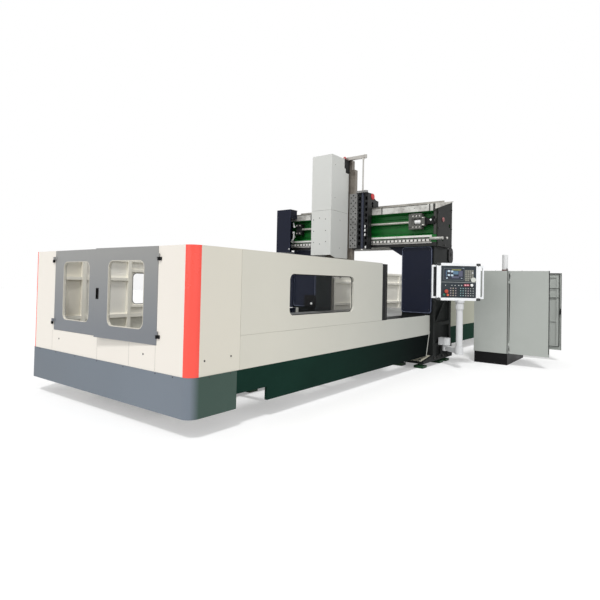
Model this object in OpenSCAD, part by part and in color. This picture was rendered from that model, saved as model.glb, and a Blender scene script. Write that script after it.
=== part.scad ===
/* [Machine] */
// Half of the overall length of the guarding, front to back
half_length = 6600; // [6400:50:7000]
// Half of the width over the front guarding
half_width = 1709; // [1680:1:1760]
// Height of the sheet guarding
wall_top = 1955; // [1900:5:2050]
// Height of the underside of the sheet guarding above the floor
skirt_bottom = 212; // [180:1:230]
// Height of the joint between skirt and cream panels
skirt_top = 626; // [600:1:660]
// Height of the joint between lower and upper side panels
seam_z = 1002; // [980:1:1030]
// Thickness of the box-folded guard panels
wall = 40; // [30:1:46]
// Radius of the rounded front corners
corner_r = 113; // [90:1:130]

/* [Front doors] */
// Half of the width of the front doorway
door_half = 1124; // [1080:2:1150]
// Distance of the doors' meeting line beside the machine's centre
door_shift = 34; // [0:2:40]
// Height of the sill under the front doors
sill_top = 905; // [880:5:930]
// Thickness of a front door
door_t = 36; // [24:1:40]
// Swing of the ajar right door from closed, in degrees
door_ajar = 3.5; // [2:0.1:8]
// Width of a front door window
pane_w = 640; // [560:5:700]
// Height of a front door window
pane_h = 750; // [700:5:820]
// Distance from a door's free edge to its window
pane_inset = 254; // [230:2:290]

/* [Side guard] */
// Distance of the front corner panel's rear edge behind the front face
corner_len = 691; // [650:1:700]
// Distance of the skirt's rear edge behind the front face
skirt_len = 645; // [600:1:648]
// Distance of the upper side panel's rear edge behind the front face
upper_len = 4020; // [3950:10:4200]
// Front edge of the side window, from the front face
window_y = 1550; // [1400:10:1700]
// Length of the side window
window_l = 1550; // [1300:10:1700]
// Lower edge of the side window
window_z = 1182; // [1150:5:1250]
// Height of the side window
window_h = 526; // [420:2:560]
// Corner radius of the windows
window_r = 80; // [60:1:100]
// Length of the raised cut-out in the dark green base
notch_len = 470; // [300:10:600]
// Height of the raised cut-out in the dark green base
notch_h = 158; // [100:1:200]

/* [Bed and table] */
// Distance of the bed's ends inside the guarding
bed_inset = 450; // [400:10:600]
// Width of the bed casting
bed_w = 1500; // [1300:10:1560]
// Height of the bed guideways
bed_top = 720; // [680:5:760]
// Length of the table
table_l = 5600; // [5000:50:6000]
// Width of the table
table_w = 2000; // [1800:10:2060]
// Thickness of the table
table_t = 230; // [180:5:260]
// Width of a table slot's mouth
slot_w = 28; // [18:1:36]
// Distance between table slots
slot_pitch = 220; // [180:5:240]
// Height of the levelling pads
pad_h = 90; // [60:5:110]

/* [Gantry] */
// Distance of a column's inner face from the centre
column_in = 1100; // [1080:5:1120]
// Width of a column across the machine
column_w = 680; // [600:5:700]
// Front face of the columns
column_front = -520; // [-540:5:-500]
// Rear face of the columns
column_back = 480; // [460:5:520]
// Height of the beam's underside
beam_z = 2395; // [2360:5:2440]
// Height of the beam casting
beam_h = 840; // [800:5:860]
// Half of the length of the beam
beam_half = 1850; // [1800:5:1870]
// Front face of the beam
beam_front = -600; // [-620:5:-560]
// Rear face of the beam
beam_back = 220; // [180:5:240]
// Diameter of the cross ball screw
screw_d = 50; // [40:1:60]
// Height of the cross ball screw
screw_z = 2890; // [2870:5:2910]

/* [Saddle and ram] */
// Centre of the ram across the machine as shown
ram_x = -288; // [-340:2:100]
// Width of the saddle casting
saddle_w = 1432; // [1410:2:1450]
// Height of the saddle's underside
saddle_z = 2355; // [2340:5:2370]
// Height of the saddle casting
saddle_h = 1205; // [1180:5:1230]
// Front face of the saddle
saddle_front = -830; // [-850:5:-820]
// Width of the ram over its guide flanges
ram_w = 760; // [730:5:770]
// Width of the ram's front bar
bar_w = 410; // [380:5:420]
// Width of the ram cover
cover_w = 498; // [460:2:510]
// Front face of the ram cover
cover_front = -1535; // [-1560:5:-1500]
// Height of the ram cover's underside
cover_z = 2145; // [2120:5:2200]
// Height of the ram cover's top
cover_top = 4295; // [4250:5:4320]
// Height of the joint in the ram cover
cover_seam = 3130; // [3100:5:3200]
// Height of the spindle nose
nose_z = 1730; // [1700:5:1760]
// Diameter of the spindle nose
nose_d = 190; // [150:5:220]

/* [Cabinet] */
// Near side of the cabinet
cab_y = 660; // [640:5:720]
// Width of the cabinet front
cab_w = 1460; // [1440:10:1600]
// Outer side of the cabinet, where its doors hang
cab_x = 2900; // [2850:5:2950]
// Depth of the cabinet
cab_d = 680; // [600:5:700]
// Height of the plinth
plinth_h = 235; // [200:5:260]
// Height of the cabinet's top above the floor
cab_top = 1940; // [1850:2:2000]

/* [Pendant] */
// Place of the pendant pole across the machine
pole_x = 2280; // [2250:5:2400]
// Place of the pendant pole along the machine
pole_y = -450; // [-560:5:-380]
// Diameter of the pendant pole
pole_d = 124; // [90:1:130]
// Width of the pendant box
pendant_w = 846; // [700:2:860]
// Height of the pendant box
pendant_h = 722; // [600:2:760]
// Depth of the pendant box
pendant_t = 170; // [130:5:200]
// Height of the pendant box's underside
pendant_z = 1322; // [1250:2:1360]
// Offset of the pendant box from its pole
pendant_shift = -55; // [-80:5:0]
// Direction the pendant faces, in degrees from the front
pendant_turn = 37; // [20:1:50]

/* [Hidden] */
front = -half_length;
gap = 3;
run = 0.5;
play = 6;
fine = 48;
side_end = column_front - run;
screw_y = beam_front + 20;
beam_step = 90;
saddle_back = beam_front - 46;
saddle_top = saddle_z + saddle_h;
ram_back = saddle_back - 69;
ram_front = ram_back - 305;
ram_z = 1900;
ram_top = cover_top + 10;
spindle_y = (ram_front + ram_back) / 2 + 7;
cover_back = saddle_front - 40;
cyl_x = 593;
cyl_y = saddle_front - 12;
cyl_d = 54;
cyl_z0 = saddle_z + 40;
head_t = 44;
rod_d = 32;
rod_top = ram_top + 70;
rail_t = 40;
rails = [[beam_z + 112, 64], [beam_z + beam_h - 72, 136]];
rail_end = beam_half - 111;
housing_r = beam_half - 588;
housing_w = 290;
housing_l = beam_half - 360;
flange_x = housing_r + housing_w;
motor_x = flange_x + 70;
bed_half = half_length - bed_inset;
column_out = column_in + column_w;
rear_half = column_in + 260;
arm_z = 320;
foot_l = 460;
end_slant = 160;
pivot_x = column_out + 130;
pivot_y = -150;
pivot_z = 398;
hinge_r = 13;
hinge_x = door_half + gap + 14;
hinge_y = front - hinge_r - run;
hinge_z = [sill_top + 110, wall_top - 118];
hinge_h = 37;
cab_door_w = cab_w / 2 - 6;
cab_door_t = 26;
cab_pin = [cab_x + cab_door_t + play, -2];
cab_hinge_z = [plinth_h + 170, cab_top - 260];

// Box between two opposite corners.
module block(a, b) {
  translate(a) cube(b - a);
}

// Both sides of the machine.
module both_sides() {
  children();
  mirror([1, 0, 0]) children();
}

// Rectangle with round corners, centred.
module round_rect(w, h, r) {
  union() {
    square([w - 2 * r, h], center = true);
    square([w, h - 2 * r], center = true);
    for (x = [-1, 1], y = [-1, 1])
      translate([x * (w / 2 - r), y * (h / 2 - r)]) circle(r, $fn = fine);
  }
}

// Upright plate facing the front with round corners, centred in width and height.
module front_plate(w, h, r, t) {
  rotate([90, 0, 0]) linear_extrude(t, center = true) round_rect(w, h, r);
}

// Upright plate facing sideways with round corners, centred.
module side_plate(l, h, r, t) {
  rotate([0, 0, 90]) front_plate(l, h, r, t);
}

// Places children at the ram's centre line.
module at_ram() {
  translate([ram_x, 0, 0]) children();
}

// Levelling pads: a square wedge block, a stud and a nut under each foot.
module levelling_pad(size) {
  block([-size / 2, -size / 2, 0], [size / 2, size / 2, pad_h * 0.55]);
  translate([0, 0, pad_h * 0.55]) cylinder(h = pad_h * 0.45, d = size * 0.5, $fn = fine);
}

module levelling_pads() {
  color([0.10, 0.30, 0.16]) {
    for (x = [-0.4, 0, 0.4], y = [-5 : 5])
      translate([x * bed_w, y * bed_half / 5.4, 0]) levelling_pad(170);
    both_sides()
      for (x = [130, column_w - 110], y = [column_front - foot_l + 110, 0, column_back - 130])
        translate([column_in + x, y, 0]) levelling_pad(190);
  }
}

// Bed: a ribbed box casting with two flat guideways and a chip channel between.
module bed() {
  rail = 230;
  color([0.22, 0.24, 0.24]) difference() {
    union() {
      block([-bed_w / 2, -bed_half, pad_h], [bed_w / 2, bed_half, bed_top - 90]);
      for (s = [-1, 1])
        translate([s * (bed_w / 2 - rail / 2), 0, 0])
          block([-rail / 2, -bed_half, bed_top - 91], [rail / 2, bed_half, bed_top]);
    }
    block([-bed_w / 2 + rail + 40, -bed_half - 1, bed_top - 230],
          [bed_w / 2 - rail - 40, bed_half + 1, bed_top + 1]);
    for (s = [-1, 1], y = [-11 : 2 : 11])
      translate([s * bed_w / 2, y * bed_half / 12.4, 0])
        block([-60, -330, pad_h + 90], [60, 330, bed_top - 190]);
  }
}

// Table with T slots and an edge gutter, carried on two slideways.
module table() {
  z0 = bed_top + run;
  slots = floor((table_w - 160) / slot_pitch);
  color([0.55, 0.56, 0.56]) difference() {
    union() {
      block([-table_w / 2, -table_l / 2, z0 + 60], [table_w / 2, table_l / 2, z0 + table_t]);
      for (s = [-1, 1])
        translate([s * (bed_w / 2 - 115), 0, 0])
          block([-100, -table_l / 2, z0], [100, table_l / 2, z0 + 61]);
    }
    for (i = [0 : slots - 1])
      translate([(i - (slots - 1) / 2) * slot_pitch, 0, 0]) {
        block([-slot_w / 2, -table_l, z0 + table_t - 55], [slot_w / 2, table_l, z0 + table_t + 1]);
        block([-slot_w, -table_l, z0 + table_t - 55], [slot_w, table_l, z0 + table_t - 28]);
      }
    for (s = [-1, 1])
      translate([s * (table_w / 2 - 40), 0, 0])
        block([-22, -table_l, z0 + table_t - 22], [22, table_l, z0 + table_t + 1]);
  }
}

// Column casting: tapered foot, side pockets with a diagonal rib, capped top.
module column_shape() {
  top = beam_z - run;
  color([0.19, 0.20, 0.20]) difference() {
    union() {
      translate([0, 0, pad_h]) linear_extrude(top - pad_h)
        polygon([[column_in, column_front], [column_out - 40, column_front],
                 [column_out - 40, column_back], [column_in + 240, column_back],
                 [column_in, column_back - 340]]);
      translate([column_in, 0, 0]) rotate([90, 0, 90]) linear_extrude(column_w)
        polygon([[column_front, pad_h], [column_front - foot_l, pad_h],
                 [column_front - foot_l, pad_h + 50], [column_front, skirt_bottom - play]]);
      translate([rear_half + run, 0, 0]) rotate([90, 0, 90])
        linear_extrude(column_out - rear_half - run)
        polygon([[column_back - 1, pad_h], [column_back + 110, pad_h],
                 [column_back + 110, pad_h + 60], [column_back - 1, pad_h + 520]]);
      block([column_out - 41, column_front, pad_h], [column_out, column_back, pad_h + 340]);
      block([column_out - 41, column_front, top - 420], [column_out, column_back, top]);
      block([column_out - 41, column_front, pad_h], [column_out, column_front + 110, top]);
      block([column_out - 41, column_back - 110, pad_h], [column_out, column_back, top]);
      for (z = [0.33, 0.62])
        block([column_out - 41, column_front, z * top], [column_out, column_back, z * top + 70]);
      translate([column_out - 41, 0, 0]) rotate([90, 0, 90]) linear_extrude(41)
        polygon([[column_front + 60, 0.33 * top + 30], [column_front + 140, 0.33 * top + 30],
                 [column_back - 60, 0.62 * top + 30], [column_back - 140, 0.62 * top + 30]]);
    }
    for (y = [0.3, 0.7], z = [pad_h + 100])
      translate([column_out, column_front + y * (column_back - column_front), z])
        block([-30, -120, 0], [1, 120, 170]);
  }
}

module right_column() {
  column_shape();
}

module left_column() {
  mirror([1, 0, 0]) column_shape();
}

// Beam casting: stepped green front with a fillet strip and a shelf for each rail.
module beam() {
  z0 = beam_z;
  z1 = beam_z + beam_h;
  y0 = beam_front;
  color([0.10, 0.44, 0.20]) difference() {
    translate([-beam_half, 0, 0]) rotate([90, 0, 90]) linear_extrude(2 * beam_half)
      polygon([
        [y0, z0], [beam_back, z0], [beam_back, z1 - 60], [beam_back - 60, z1],
        [y0, z1], [y0, z1 - 150], [y0 + beam_step + 35, z1 - 178],
        [y0 + beam_step + 35, z1 - 250], [y0 + beam_step, z1 - 275],
        [y0 + beam_step, z0 + 490], [y0 + beam_step + 50, z0 + 455],
        [y0 + beam_step + 50, z0 + 275], [y0 + beam_step, z0 + 248], [y0, z0 + 225]
      ]);
    for (x = [-3 : 3])
      translate([x * beam_half / 3.8, beam_back, beam_z + beam_h / 2])
        front_plate(330, beam_h - 330, 60, 120);
  }
}

// Guideways of the beam: a drilled linear rail below, a wide ground way above, and
// the round stop bar that runs out past the beam's right end.
module beam_rails() {
  color([0.66, 0.66, 0.64]) {
    for (r = rails) difference() {
      block([-beam_half + 60, beam_front - rail_t, r[0] - r[1] / 2],
            [r[1] > 100 ? beam_half - 60 : rail_end, beam_front, r[0] + r[1] / 2]);
      for (x = [-beam_half + 130 : 120 : rail_end - 40])
        translate([x, beam_front - rail_t + 22, r[0]]) rotate([90, 0, 0])
          cylinder(h = 30, d = r[1] > 100 ? 16 : 26, $fn = 24);
    }
    translate([rail_end - 1, beam_front - 46, rails[0][0] + 32]) rotate([0, 90, 0])
      cylinder(h = 265, d = 56, $fn = fine);
  }
}

// Ball screw between its two bearing housings.
module cross_screw() {
  color([0.72, 0.72, 0.70]) translate([0, screw_y, screw_z]) rotate([0, 90, 0]) {
    translate([0, 0, -housing_l - 26]) cylinder(h = housing_l + housing_r + 25, d = screw_d, $fn = fine);
    translate([0, 0, housing_r - 1]) cylinder(h = 130, d = screw_d * 0.7, $fn = fine);
    translate([0, 0, housing_r + 140]) cylinder(h = flange_x - housing_r - 165, d = screw_d + 22, $fn = fine);
    translate([0, 0, housing_r + 128]) cylinder(h = flange_x - housing_r - 100, d = screw_d * 0.7, $fn = fine);
  }
}

// Bearing housings: the right one with two drilled lugs and a window where the
// coupling shows, the left one a plain block with two lugs.
module screw_housings() {
  y0 = screw_y - 62;
  y1 = beam_front + beam_step;
  color([0.55, 0.56, 0.55]) {
    translate([0, 0, screw_z]) difference() {
      union() {
        block([housing_r, y0 + 34, -150], [flange_x, y1, 170]);
        block([housing_r + 6, y0 + 20, -96], [housing_r + 70, y0 + 35, 130]);
        for (z = [[-150, -62], [72, 170]])
          block([housing_r + 60, y0 + 6, z[0]], [flange_x, y0 + 35, z[1]]);
        block([flange_x, y0, -88], [motor_x, y1, 92]);
      }
      block([housing_r + 120, y0 - 1, -58], [flange_x - 20, y0 + 111, 58]);
      translate([housing_r - 10, screw_y, 0]) rotate([0, 90, 0])
        cylinder(h = 400, d = screw_d * 0.7 + 1, $fn = fine);
      translate([housing_r - 1, screw_y, 0]) rotate([0, 90, 0])
        cylinder(h = 1.5, d = screw_d + 2, $fn = fine);
      for (x = [100, 170, 240], z = [-106, 121])
        translate([housing_r + x, y0 + 30, z]) rotate([90, 0, 0])
          cylinder(h = 30, d = 40, $fn = 24);
    }
    translate([0, 0, screw_z]) difference() {
      union() {
        block([-housing_l - 170, y0 + 34, -130], [-housing_l, y1, 130]);
        for (z = [-130, 55])
          block([-housing_l - 170, y0 + 10, z], [-housing_l, y0 + 35, z + 75]);
      }
      translate([-housing_l - 26, screw_y, 0]) rotate([0, 90, 0])
        cylinder(h = 40, d = screw_d + 1, $fn = fine);
    }
  }
}

// Servo motor of the cross screw with its flange, fan end and connector.
module cross_motor() {
  color([0.07, 0.07, 0.08]) translate([motor_x + run, screw_y, screw_z]) {
    block([0, -68, -68], [24, 68, 68]);
    block([23, -60, -60], [195, 60, 60]);
    translate([194, 0, 0]) rotate([0, 90, 0]) cylinder(h = 28, d = 112, $fn = fine);
    block([140, -50, 59], [192, -5, 95]);
  }
}

// Cable tray over the beam: a flat trough with a rear wall, and tapered end plates
// that point to the rear.
module top_tray() {
  z1 = beam_z + beam_h + run;
  lip = beam_front - 22;
  color([0.70, 0.68, 0.65]) {
    block([-beam_half, lip, z1], [beam_half, -180, z1 + 12]);
    block([-beam_half, -192, z1], [beam_half, -180, z1 + 120]);
    both_sides()
      translate([beam_half + 20 + run, 0, 0]) rotate([90, 0, 90]) linear_extrude(18)
        polygon([[lip - 98, z1 - 120], [lip - 98, z1 - 10],
                 [beam_back + 20, z1 + 165], [beam_back + 20, z1 + 150]]);
  }
}

// Dark side plates on the beam's ends with a slanted top edge and a service hole.
module beam_end_plates() {
  z1 = beam_z + beam_h;
  color([0.16, 0.17, 0.16]) both_sides()
    translate([beam_half + run, 0, 0]) rotate([90, 0, 90]) linear_extrude(20 - run)
      difference() {
        polygon([[beam_front + 8, beam_z], [beam_front + 8, z1 - 80], [beam_back, z1 + 146],
                 [beam_back, beam_z]]);
        translate([beam_back - 150, screw_z - 40]) circle(42, $fn = fine);
        translate([beam_front + 300, rails[0][0] + 30]) circle(34, $fn = fine);
      }
}

// Dark wedge brackets under the beam, inside the columns.
module beam_gussets() {
  color([0.13, 0.15, 0.22]) both_sides()
    translate([0, column_front + 420, 0]) rotate([90, 0, 0]) linear_extrude(420)
      polygon([[column_in - run, beam_z - run], [column_in - run, beam_z - 175],
               [column_in - 40, beam_z - 175], [column_in - 320, beam_z - run]]);
}

// Dark blue covers on the column fronts with round lower corners.
module column_covers() {
  low = 1040;
  high = beam_z - 5;
  w = column_w - 30;
  color([0.13, 0.14, 0.24]) both_sides()
    translate([column_in + w / 2, column_front - 15 - run, 0]) {
      translate([0, 0, (low + high) / 2]) front_plate(w, high - low, 60, 30);
    }
}

// Deep cover at the left end of the beam, open on its inner side.
module left_cable_cover() {
  x0 = -2035;
  x1 = -1620;
  y0 = -900;
  y1 = beam_front - 30;
  z0 = 2330;
  z1 = 3350;
  t = 12;
  color([0.14, 0.15, 0.25]) {
    block([x0, y0, z0], [x1, y0 + t, z1]);
    block([x0, y0 + t, z0], [x0 + t, y1, z1]);
    block([x0 + t, y0 + t, z1 - t], [x1, y1, z1]);
    block([x0 + t, y0 + t, z0], [x1, y1, z0 + t]);
    block([x0 + t, y1 - t, z0 + t], [-beam_half + 54, beam_front - run, z1 - 240]);
    block([x1 - t, y0 + t - 1, z1 - 210], [x1, beam_front - rail_t - play, z1 - t + 1]);
  }
}

// Saddle casting: ladders of pockets beside each balance cylinder, the ram channel,
// a rear pocket over the ball screw, the nut block and the arms over the beam.
module saddle() {
  pockets = 9;
  pitch = floor((saddle_h - 110) / pockets);
  over = beam_z + beam_h + 18;
  arm = 62;
  color([0.12, 0.13, 0.13]) at_ram() {
    difference() {
      block([-saddle_w / 2, saddle_front, saddle_z], [saddle_w / 2, saddle_back, saddle_top]);
      block([-ram_w / 2 - play, saddle_front - 1, saddle_z - 1],
            [ram_w / 2 + play, ram_back + play, saddle_top + 1]);
      block([-saddle_w, saddle_back - 22, screw_z - 185], [saddle_w, saddle_back + 1, screw_z + 190]);
      for (s = [-1, 1], c = [cyl_x - 75, cyl_x + 84], i = [0 : pockets - 1])
        translate([s * c, saddle_front, saddle_z + 55 + (i + 0.5) * pitch])
          front_plate(54, pitch - 42, 10, 150);
      for (s = [-1, 1])
        translate([s * cyl_x, cyl_y, saddle_z - 1])
          cylinder(h = saddle_h + 2, d = cyl_d + 1, $fn = fine);
      for (s = [-1, 1], z = [over + 80, over - 56])
        translate([s * (saddle_w / 2 - 30), saddle_back - 28, z]) rotate([0, s * 90, 0])
          cylinder(h = 31, d = 26, $fn = 24);
    }
    both_sides()
      translate([saddle_w / 2 - arm, 0, 0])
        rotate([90, 0, 90]) linear_extrude(arm)
          polygon([[saddle_back - 1, over], [beam_front + 240, over], [beam_front + 240, over + 180],
                   [beam_front + 117, over + 188], [beam_front + 24, over + 236],
                   [saddle_back - 1, saddle_top - 40]]);
    both_sides() {
      block([ram_w / 2 + 60, saddle_back - 1, over + 30], [saddle_w / 2 - arm + 1, beam_front + 90, over + 210]);
      translate([saddle_w / 2 - 84, saddle_back + 20, saddle_top - 60]) rotate([0, 90, 0])
        cylinder(h = 92, d = 104, $fn = fine);
    }
    translate([0, 0, screw_z]) difference() {
      block([-140, saddle_back - 23, -110], [140, beam_front + beam_step - play, 60]);
      translate([-150, screw_y, 0]) rotate([0, 90, 0])
        cylinder(h = 300, d = screw_d + 6, $fn = fine);
    }
    for (r = rails, s = [-1, 1])
      translate([s * 560, 0, r[0]]) difference() {
        block([-130, saddle_back - 1, -r[1] / 2 - 28],
              [130, beam_front - play, r[1] > 100 ? r[1] / 2 - 28 : r[1] / 2 + 45]);
        block([-131, beam_front - rail_t - run, -r[1] / 2 - run],
              [131, beam_front, r[1] / 2 + run]);
      }
  }
}

// Gib plates over the ram flanges, drilled in a staggered pattern, and the head
// plates that close the balance cylinders on the saddle's top.
module gib_plates() {
  x0 = 279;
  w = 188;
  t = 33;
  color([0.74, 0.74, 0.72]) at_ram() both_sides() {
    difference() {
      block([x0, saddle_front - run - t, saddle_z + 20], [x0 + w, saddle_front - run, saddle_top - 6]);
      for (i = [0 : 9], c = [0, 1, 2])
        translate([x0 + w * (0.22 + 0.29 * c), saddle_front - t + 20,
                   saddle_z + 70 + i * 116 + (c == 1 ? 48 : 0)])
          rotate([90, 0, 0]) cylinder(h = 26, d = 32, $fn = 24);
    }
    difference() {
      union() {
        block([cyl_x - 140, cyl_y - 42, saddle_top + run], [cyl_x + 80, cyl_y + 42, saddle_top + head_t]);
        translate([cyl_x + 80, cyl_y, saddle_top + run])
          cylinder(h = head_t - run, d = 84, $fn = fine);
      }
      translate([cyl_x, cyl_y, saddle_top]) cylinder(h = head_t + 1, d = rod_d + 0.7, $fn = fine);
    }
  }
}

// Balance cylinders standing in the saddle beside the gibs.
module balance_cylinders() {
  color([0.16, 0.17, 0.17]) at_ram() both_sides()
    translate([cyl_x, cyl_y, 0]) difference() {
      union() {
        translate([0, 0, cyl_z0]) cylinder(h = saddle_top - cyl_z0, d = cyl_d, $fn = fine);
        translate([0, 0, saddle_z - 34]) cylinder(h = 75, d = cyl_d - 8, $fn = fine);
      }
      translate([0, 0, cyl_z0 + 30])
        cylinder(h = saddle_top - cyl_z0, d = rod_d + 4, $fn = fine);
    }
}

// Balance rods with the cross bar that hangs the ram on them.
module balance_rods() {
  color([0.78, 0.78, 0.76]) at_ram() {
    both_sides() {
      translate([cyl_x, cyl_y, saddle_top - 330])
        cylinder(h = rod_top - saddle_top + 330, d = rod_d, $fn = fine);
      translate([cyl_x + 46, cyl_y, ram_top + run]) cylinder(h = rod_top - ram_top, d = 74, $fn = fine);
    }
    block([-cyl_x - 46, cyl_y - 34, ram_top + run], [cyl_x + 46, cyl_y + 34, rod_top - 4]);
  }
}

// Ram: a front bar on a flanged back plate that steps in above and below the gibs.
module ram() {
  y = saddle_front + play;
  steps = [[ram_z, ram_z + 551, 45], [ram_z + 550, ram_top - 215, 0], [ram_top - 216, ram_top, 76]];
  color([0.60, 0.56, 0.52]) at_ram() difference() {
    union() {
      block([-bar_w / 2, ram_front, ram_z], [bar_w / 2, ram_back, ram_top]);
      for (f = steps)
        block([-ram_w / 2 + f[2], y, f[0]], [ram_w / 2 - f[2], ram_back, f[1]]);
      translate([0, spindle_y, nose_z + 80])
        cylinder(h = ram_z - nose_z - 79, d = nose_d + 80, $fn = fine);
    }
    translate([0, spindle_y, nose_z - 1]) cylinder(h = 180, d = 91, $fn = fine);
  }
}

// Spindle nose with its shaft and tapered seat.
module spindle() {
  color([0.50, 0.51, 0.52]) translate([ram_x, spindle_y, 0])
    difference() {
      union() {
        translate([0, 0, nose_z]) cylinder(h = 79, d = nose_d, $fn = fine);
        translate([0, 0, nose_z + 78]) cylinder(h = 90, d = 90, $fn = fine);
      }
      translate([0, 0, nose_z - 1]) cylinder(h = 70, d = 70, $fn = fine);
      for (s = [-1, 1])
        translate([s * (nose_d / 2 - 22), 0, nose_z])
          block([-16, -12, -1], [16, 12, 14]);
    }
}

// Ram cover: a deep box with a sloped underside, a joint line and a stepped rear notch.
module ram_cover() {
  t = 8;
  w = cover_w / 2;
  color([0.83, 0.84, 0.83]) at_ram() {
    for (part = [[cover_z, cover_seam - 2], [cover_seam + 2, cover_top]])
      difference() {
        intersection() {
          block([-w, cover_front, part[0]], [w, cover_back, part[1]]);
          translate([-w - 1, 0, 0]) rotate([90, 0, 90]) linear_extrude(2 * w + 2)
            polygon([[cover_front, cover_z + 50], [cover_front + 180, cover_z],
                     [cover_back, cover_z], [cover_back, ram_top - 305],
                     [cover_back - 128, ram_top - 305], [cover_back - 128, ram_top - 215],
                     [cover_back - 180, ram_top - 215], [cover_back - 180, cover_top],
                     [cover_front, cover_top]]);
        }
        block([-w + t, cover_front + t, cover_z - 1], [w - t, cover_back + 1, cover_seam + 3]);
        block([-w + t, cover_front + t, cover_seam], [w - t, cover_back + 1, cover_top - t]);
      }
    block([-w + t, ram_front - 60, cover_seam - 70], [w - t, ram_front - run, cover_seam - 20]);
    for (z = [cover_seam - 60, cover_seam + 20, cover_z + 90, ram_top - 360])
      for (s = [-1, 1])
        block([s > 0 ? bar_w / 2 + run : -w + t, ram_front + 20, z],
              [s > 0 ? w - t : -bar_w / 2 - run, ram_front + 60, z + 40]);
  }
}

// Drive box in the cover's rear notch, with a lifting eye on the ram.
module ram_drive() {
  color([0.15, 0.16, 0.16]) at_ram() {
    translate([bar_w / 2 + run, 0, 0]) rotate([90, 0, 90]) linear_extrude((cover_w - bar_w) / 2 - run)
      polygon([[cover_back - 176, ram_top - 211], [cover_back - 124, ram_top - 211],
               [cover_back - 124, ram_top - 301], [cover_back + 28, ram_top - 301],
               [cover_back + 28, ram_top - 5], [cover_back - 176, ram_top - 5]]);
    translate([bar_w / 2 - 30, cyl_y - 88, ram_top + run]) {
      cylinder(h = 14, d = 50, $fn = fine);
      translate([0, 0, 38]) rotate([90, 0, 0]) difference() {
        cylinder(h = 16, d = 66, center = true, $fn = fine);
        cylinder(h = 20, d = 34, center = true, $fn = fine);
      }
    }
  }
}

// Grey skirt round the front and the first stretch of the sides.
module front_skirt() {
  p = 6;
  r = corner_r + p;
  x = half_width + p;
  y0 = front - p;
  y1 = front + skirt_len;
  color([0.50, 0.54, 0.58]) translate([0, 0, skirt_bottom])
    linear_extrude(skirt_top - skirt_bottom) difference() {
      union() {
        translate([-x, y0 + r]) square([2 * x, y1 - y0 - r]);
        translate([-x + r, y0]) square([2 * x - 2 * r, r + 1]);
        for (s = [-1, 1]) translate([s * (x - r), y0 + r]) circle(r, $fn = fine);
      }
      translate([-x + wall, y0 + r]) square([2 * (x - wall), y1 - y0]);
      translate([-x + r, y0 + wall]) square([2 * x - 2 * r, r]);
      for (s = [-1, 1]) translate([s * (x - r), y0 + r]) circle(r - wall, $fn = fine);
    }
}

// Coral red rounded strips on the two front corners.
module corner_strips() {
  color([1.0, 0.34, 0.28]) both_sides()
    translate([half_width - corner_r, front + corner_r, skirt_top + run])
      linear_extrude(wall_top - skirt_top - run) intersection() {
        difference() {
          circle(corner_r, $fn = 96);
          circle(corner_r - wall, $fn = 96);
        }
        translate([0, -corner_r]) square([corner_r, corner_r]);
      }
}

// Cream panels between a front corner and the doorway, with the side return.
module corner_panel(s) {
  color([0.94, 0.92, 0.89]) {
    block([s > 0 ? door_shift + door_half + gap : -half_width + corner_r, front, skirt_top + run],
          [s > 0 ? half_width - corner_r : door_shift - door_half - gap, front + wall, wall_top]);
    block([s > 0 ? half_width - wall : -half_width, front + corner_r, skirt_top + run],
          [s > 0 ? half_width : -half_width + wall, front + corner_len - 2, wall_top]);
  }
}

module front_left_panel() {
  corner_panel(-1);
}

module front_right_panel() {
  corner_panel(1);
}

// Cream sill under the doors with its folded top ledge.
module front_sill() {
  color([0.94, 0.92, 0.89]) at_doors() {
    block([-door_half - gap + run, front, skirt_top + run],
          [door_half + gap - run, front + wall, sill_top - gap]);
    block([-door_half - gap + run, front + wall, sill_top - 30],
          [door_half + gap - run, front + wall + 90, sill_top - gap]);
  }
}

// Frame halves of the front door hinges: a knuckle on a leaf, two on each side.
module door_hinges() {
  color([0.10, 0.10, 0.11]) at_doors() both_sides()
    for (z = hinge_z)
      translate([hinge_x, hinge_y, z - hinge_h]) {
        cylinder(h = hinge_h - run, d = 2 * hinge_r, $fn = fine);
        block([0, 0, 0], [42, hinge_r, hinge_h - run]);
      }
}

// Front door with a rounded window, drawn closed; side s is -1 left, 1 right.
module front_door(s) {
  w = door_half - 2;
  h = wall_top - sill_top;
  cx = s * (2 + w / 2);
  cz = sill_top + h / 2;
  px = s * (2 + pane_inset + pane_w / 2);
  edge = hinge_x - door_half;
  color([0.59, 0.60, 0.61]) {
    difference() {
      translate([cx, front, sill_top]) block([-w / 2, 0, 0], [w / 2, door_t, h]);
      translate([px, front + door_t / 2, cz])
        front_plate(pane_w, pane_h, window_r, door_t + 2);
      if (s > 0)
        translate([52, front, cz - 10]) block([-26, -1, -66], [26, 20, 66]);
    }
    for (z = hinge_z)
      translate([s * hinge_x, hinge_y, z]) mirror([s > 0 ? 0 : 1, 0, 0]) {
        cylinder(h = hinge_h, d = 2 * hinge_r, $fn = fine);
        block([-52, 7, 0], [0, hinge_r, hinge_h]);
        block([-52, 7, 0], [-edge - 1, hinge_r + run + 1, hinge_h]);
      }
  }
}

// Pane seated in a front door window.
module front_pane(s) {
  px = s * (2 + pane_inset + pane_w / 2);
  cz = (sill_top + wall_top) / 2;
  color([0.75, 0.82, 0.85, 0.4])
    translate([px, front + door_t / 2, cz])
      front_plate(pane_w - 2 * run, pane_h - 2 * run, window_r - run, 6);
}

// Shifts the doors and what frames them to their meeting line.
module at_doors() {
  translate([door_shift, 0, 0]) children();
}

// Turns the right door about its hinge pin to the ajar position.
module ajar() {
  translate([hinge_x, hinge_y, 0]) rotate([0, 0, door_ajar])
    translate([-hinge_x, -hinge_y, 0]) children();
}

module left_door() {
  at_doors() front_door(-1);
}

module left_door_pane() {
  at_doors() front_pane(-1);
}

module right_door() {
  at_doors() ajar() front_door(1);
}

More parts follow.
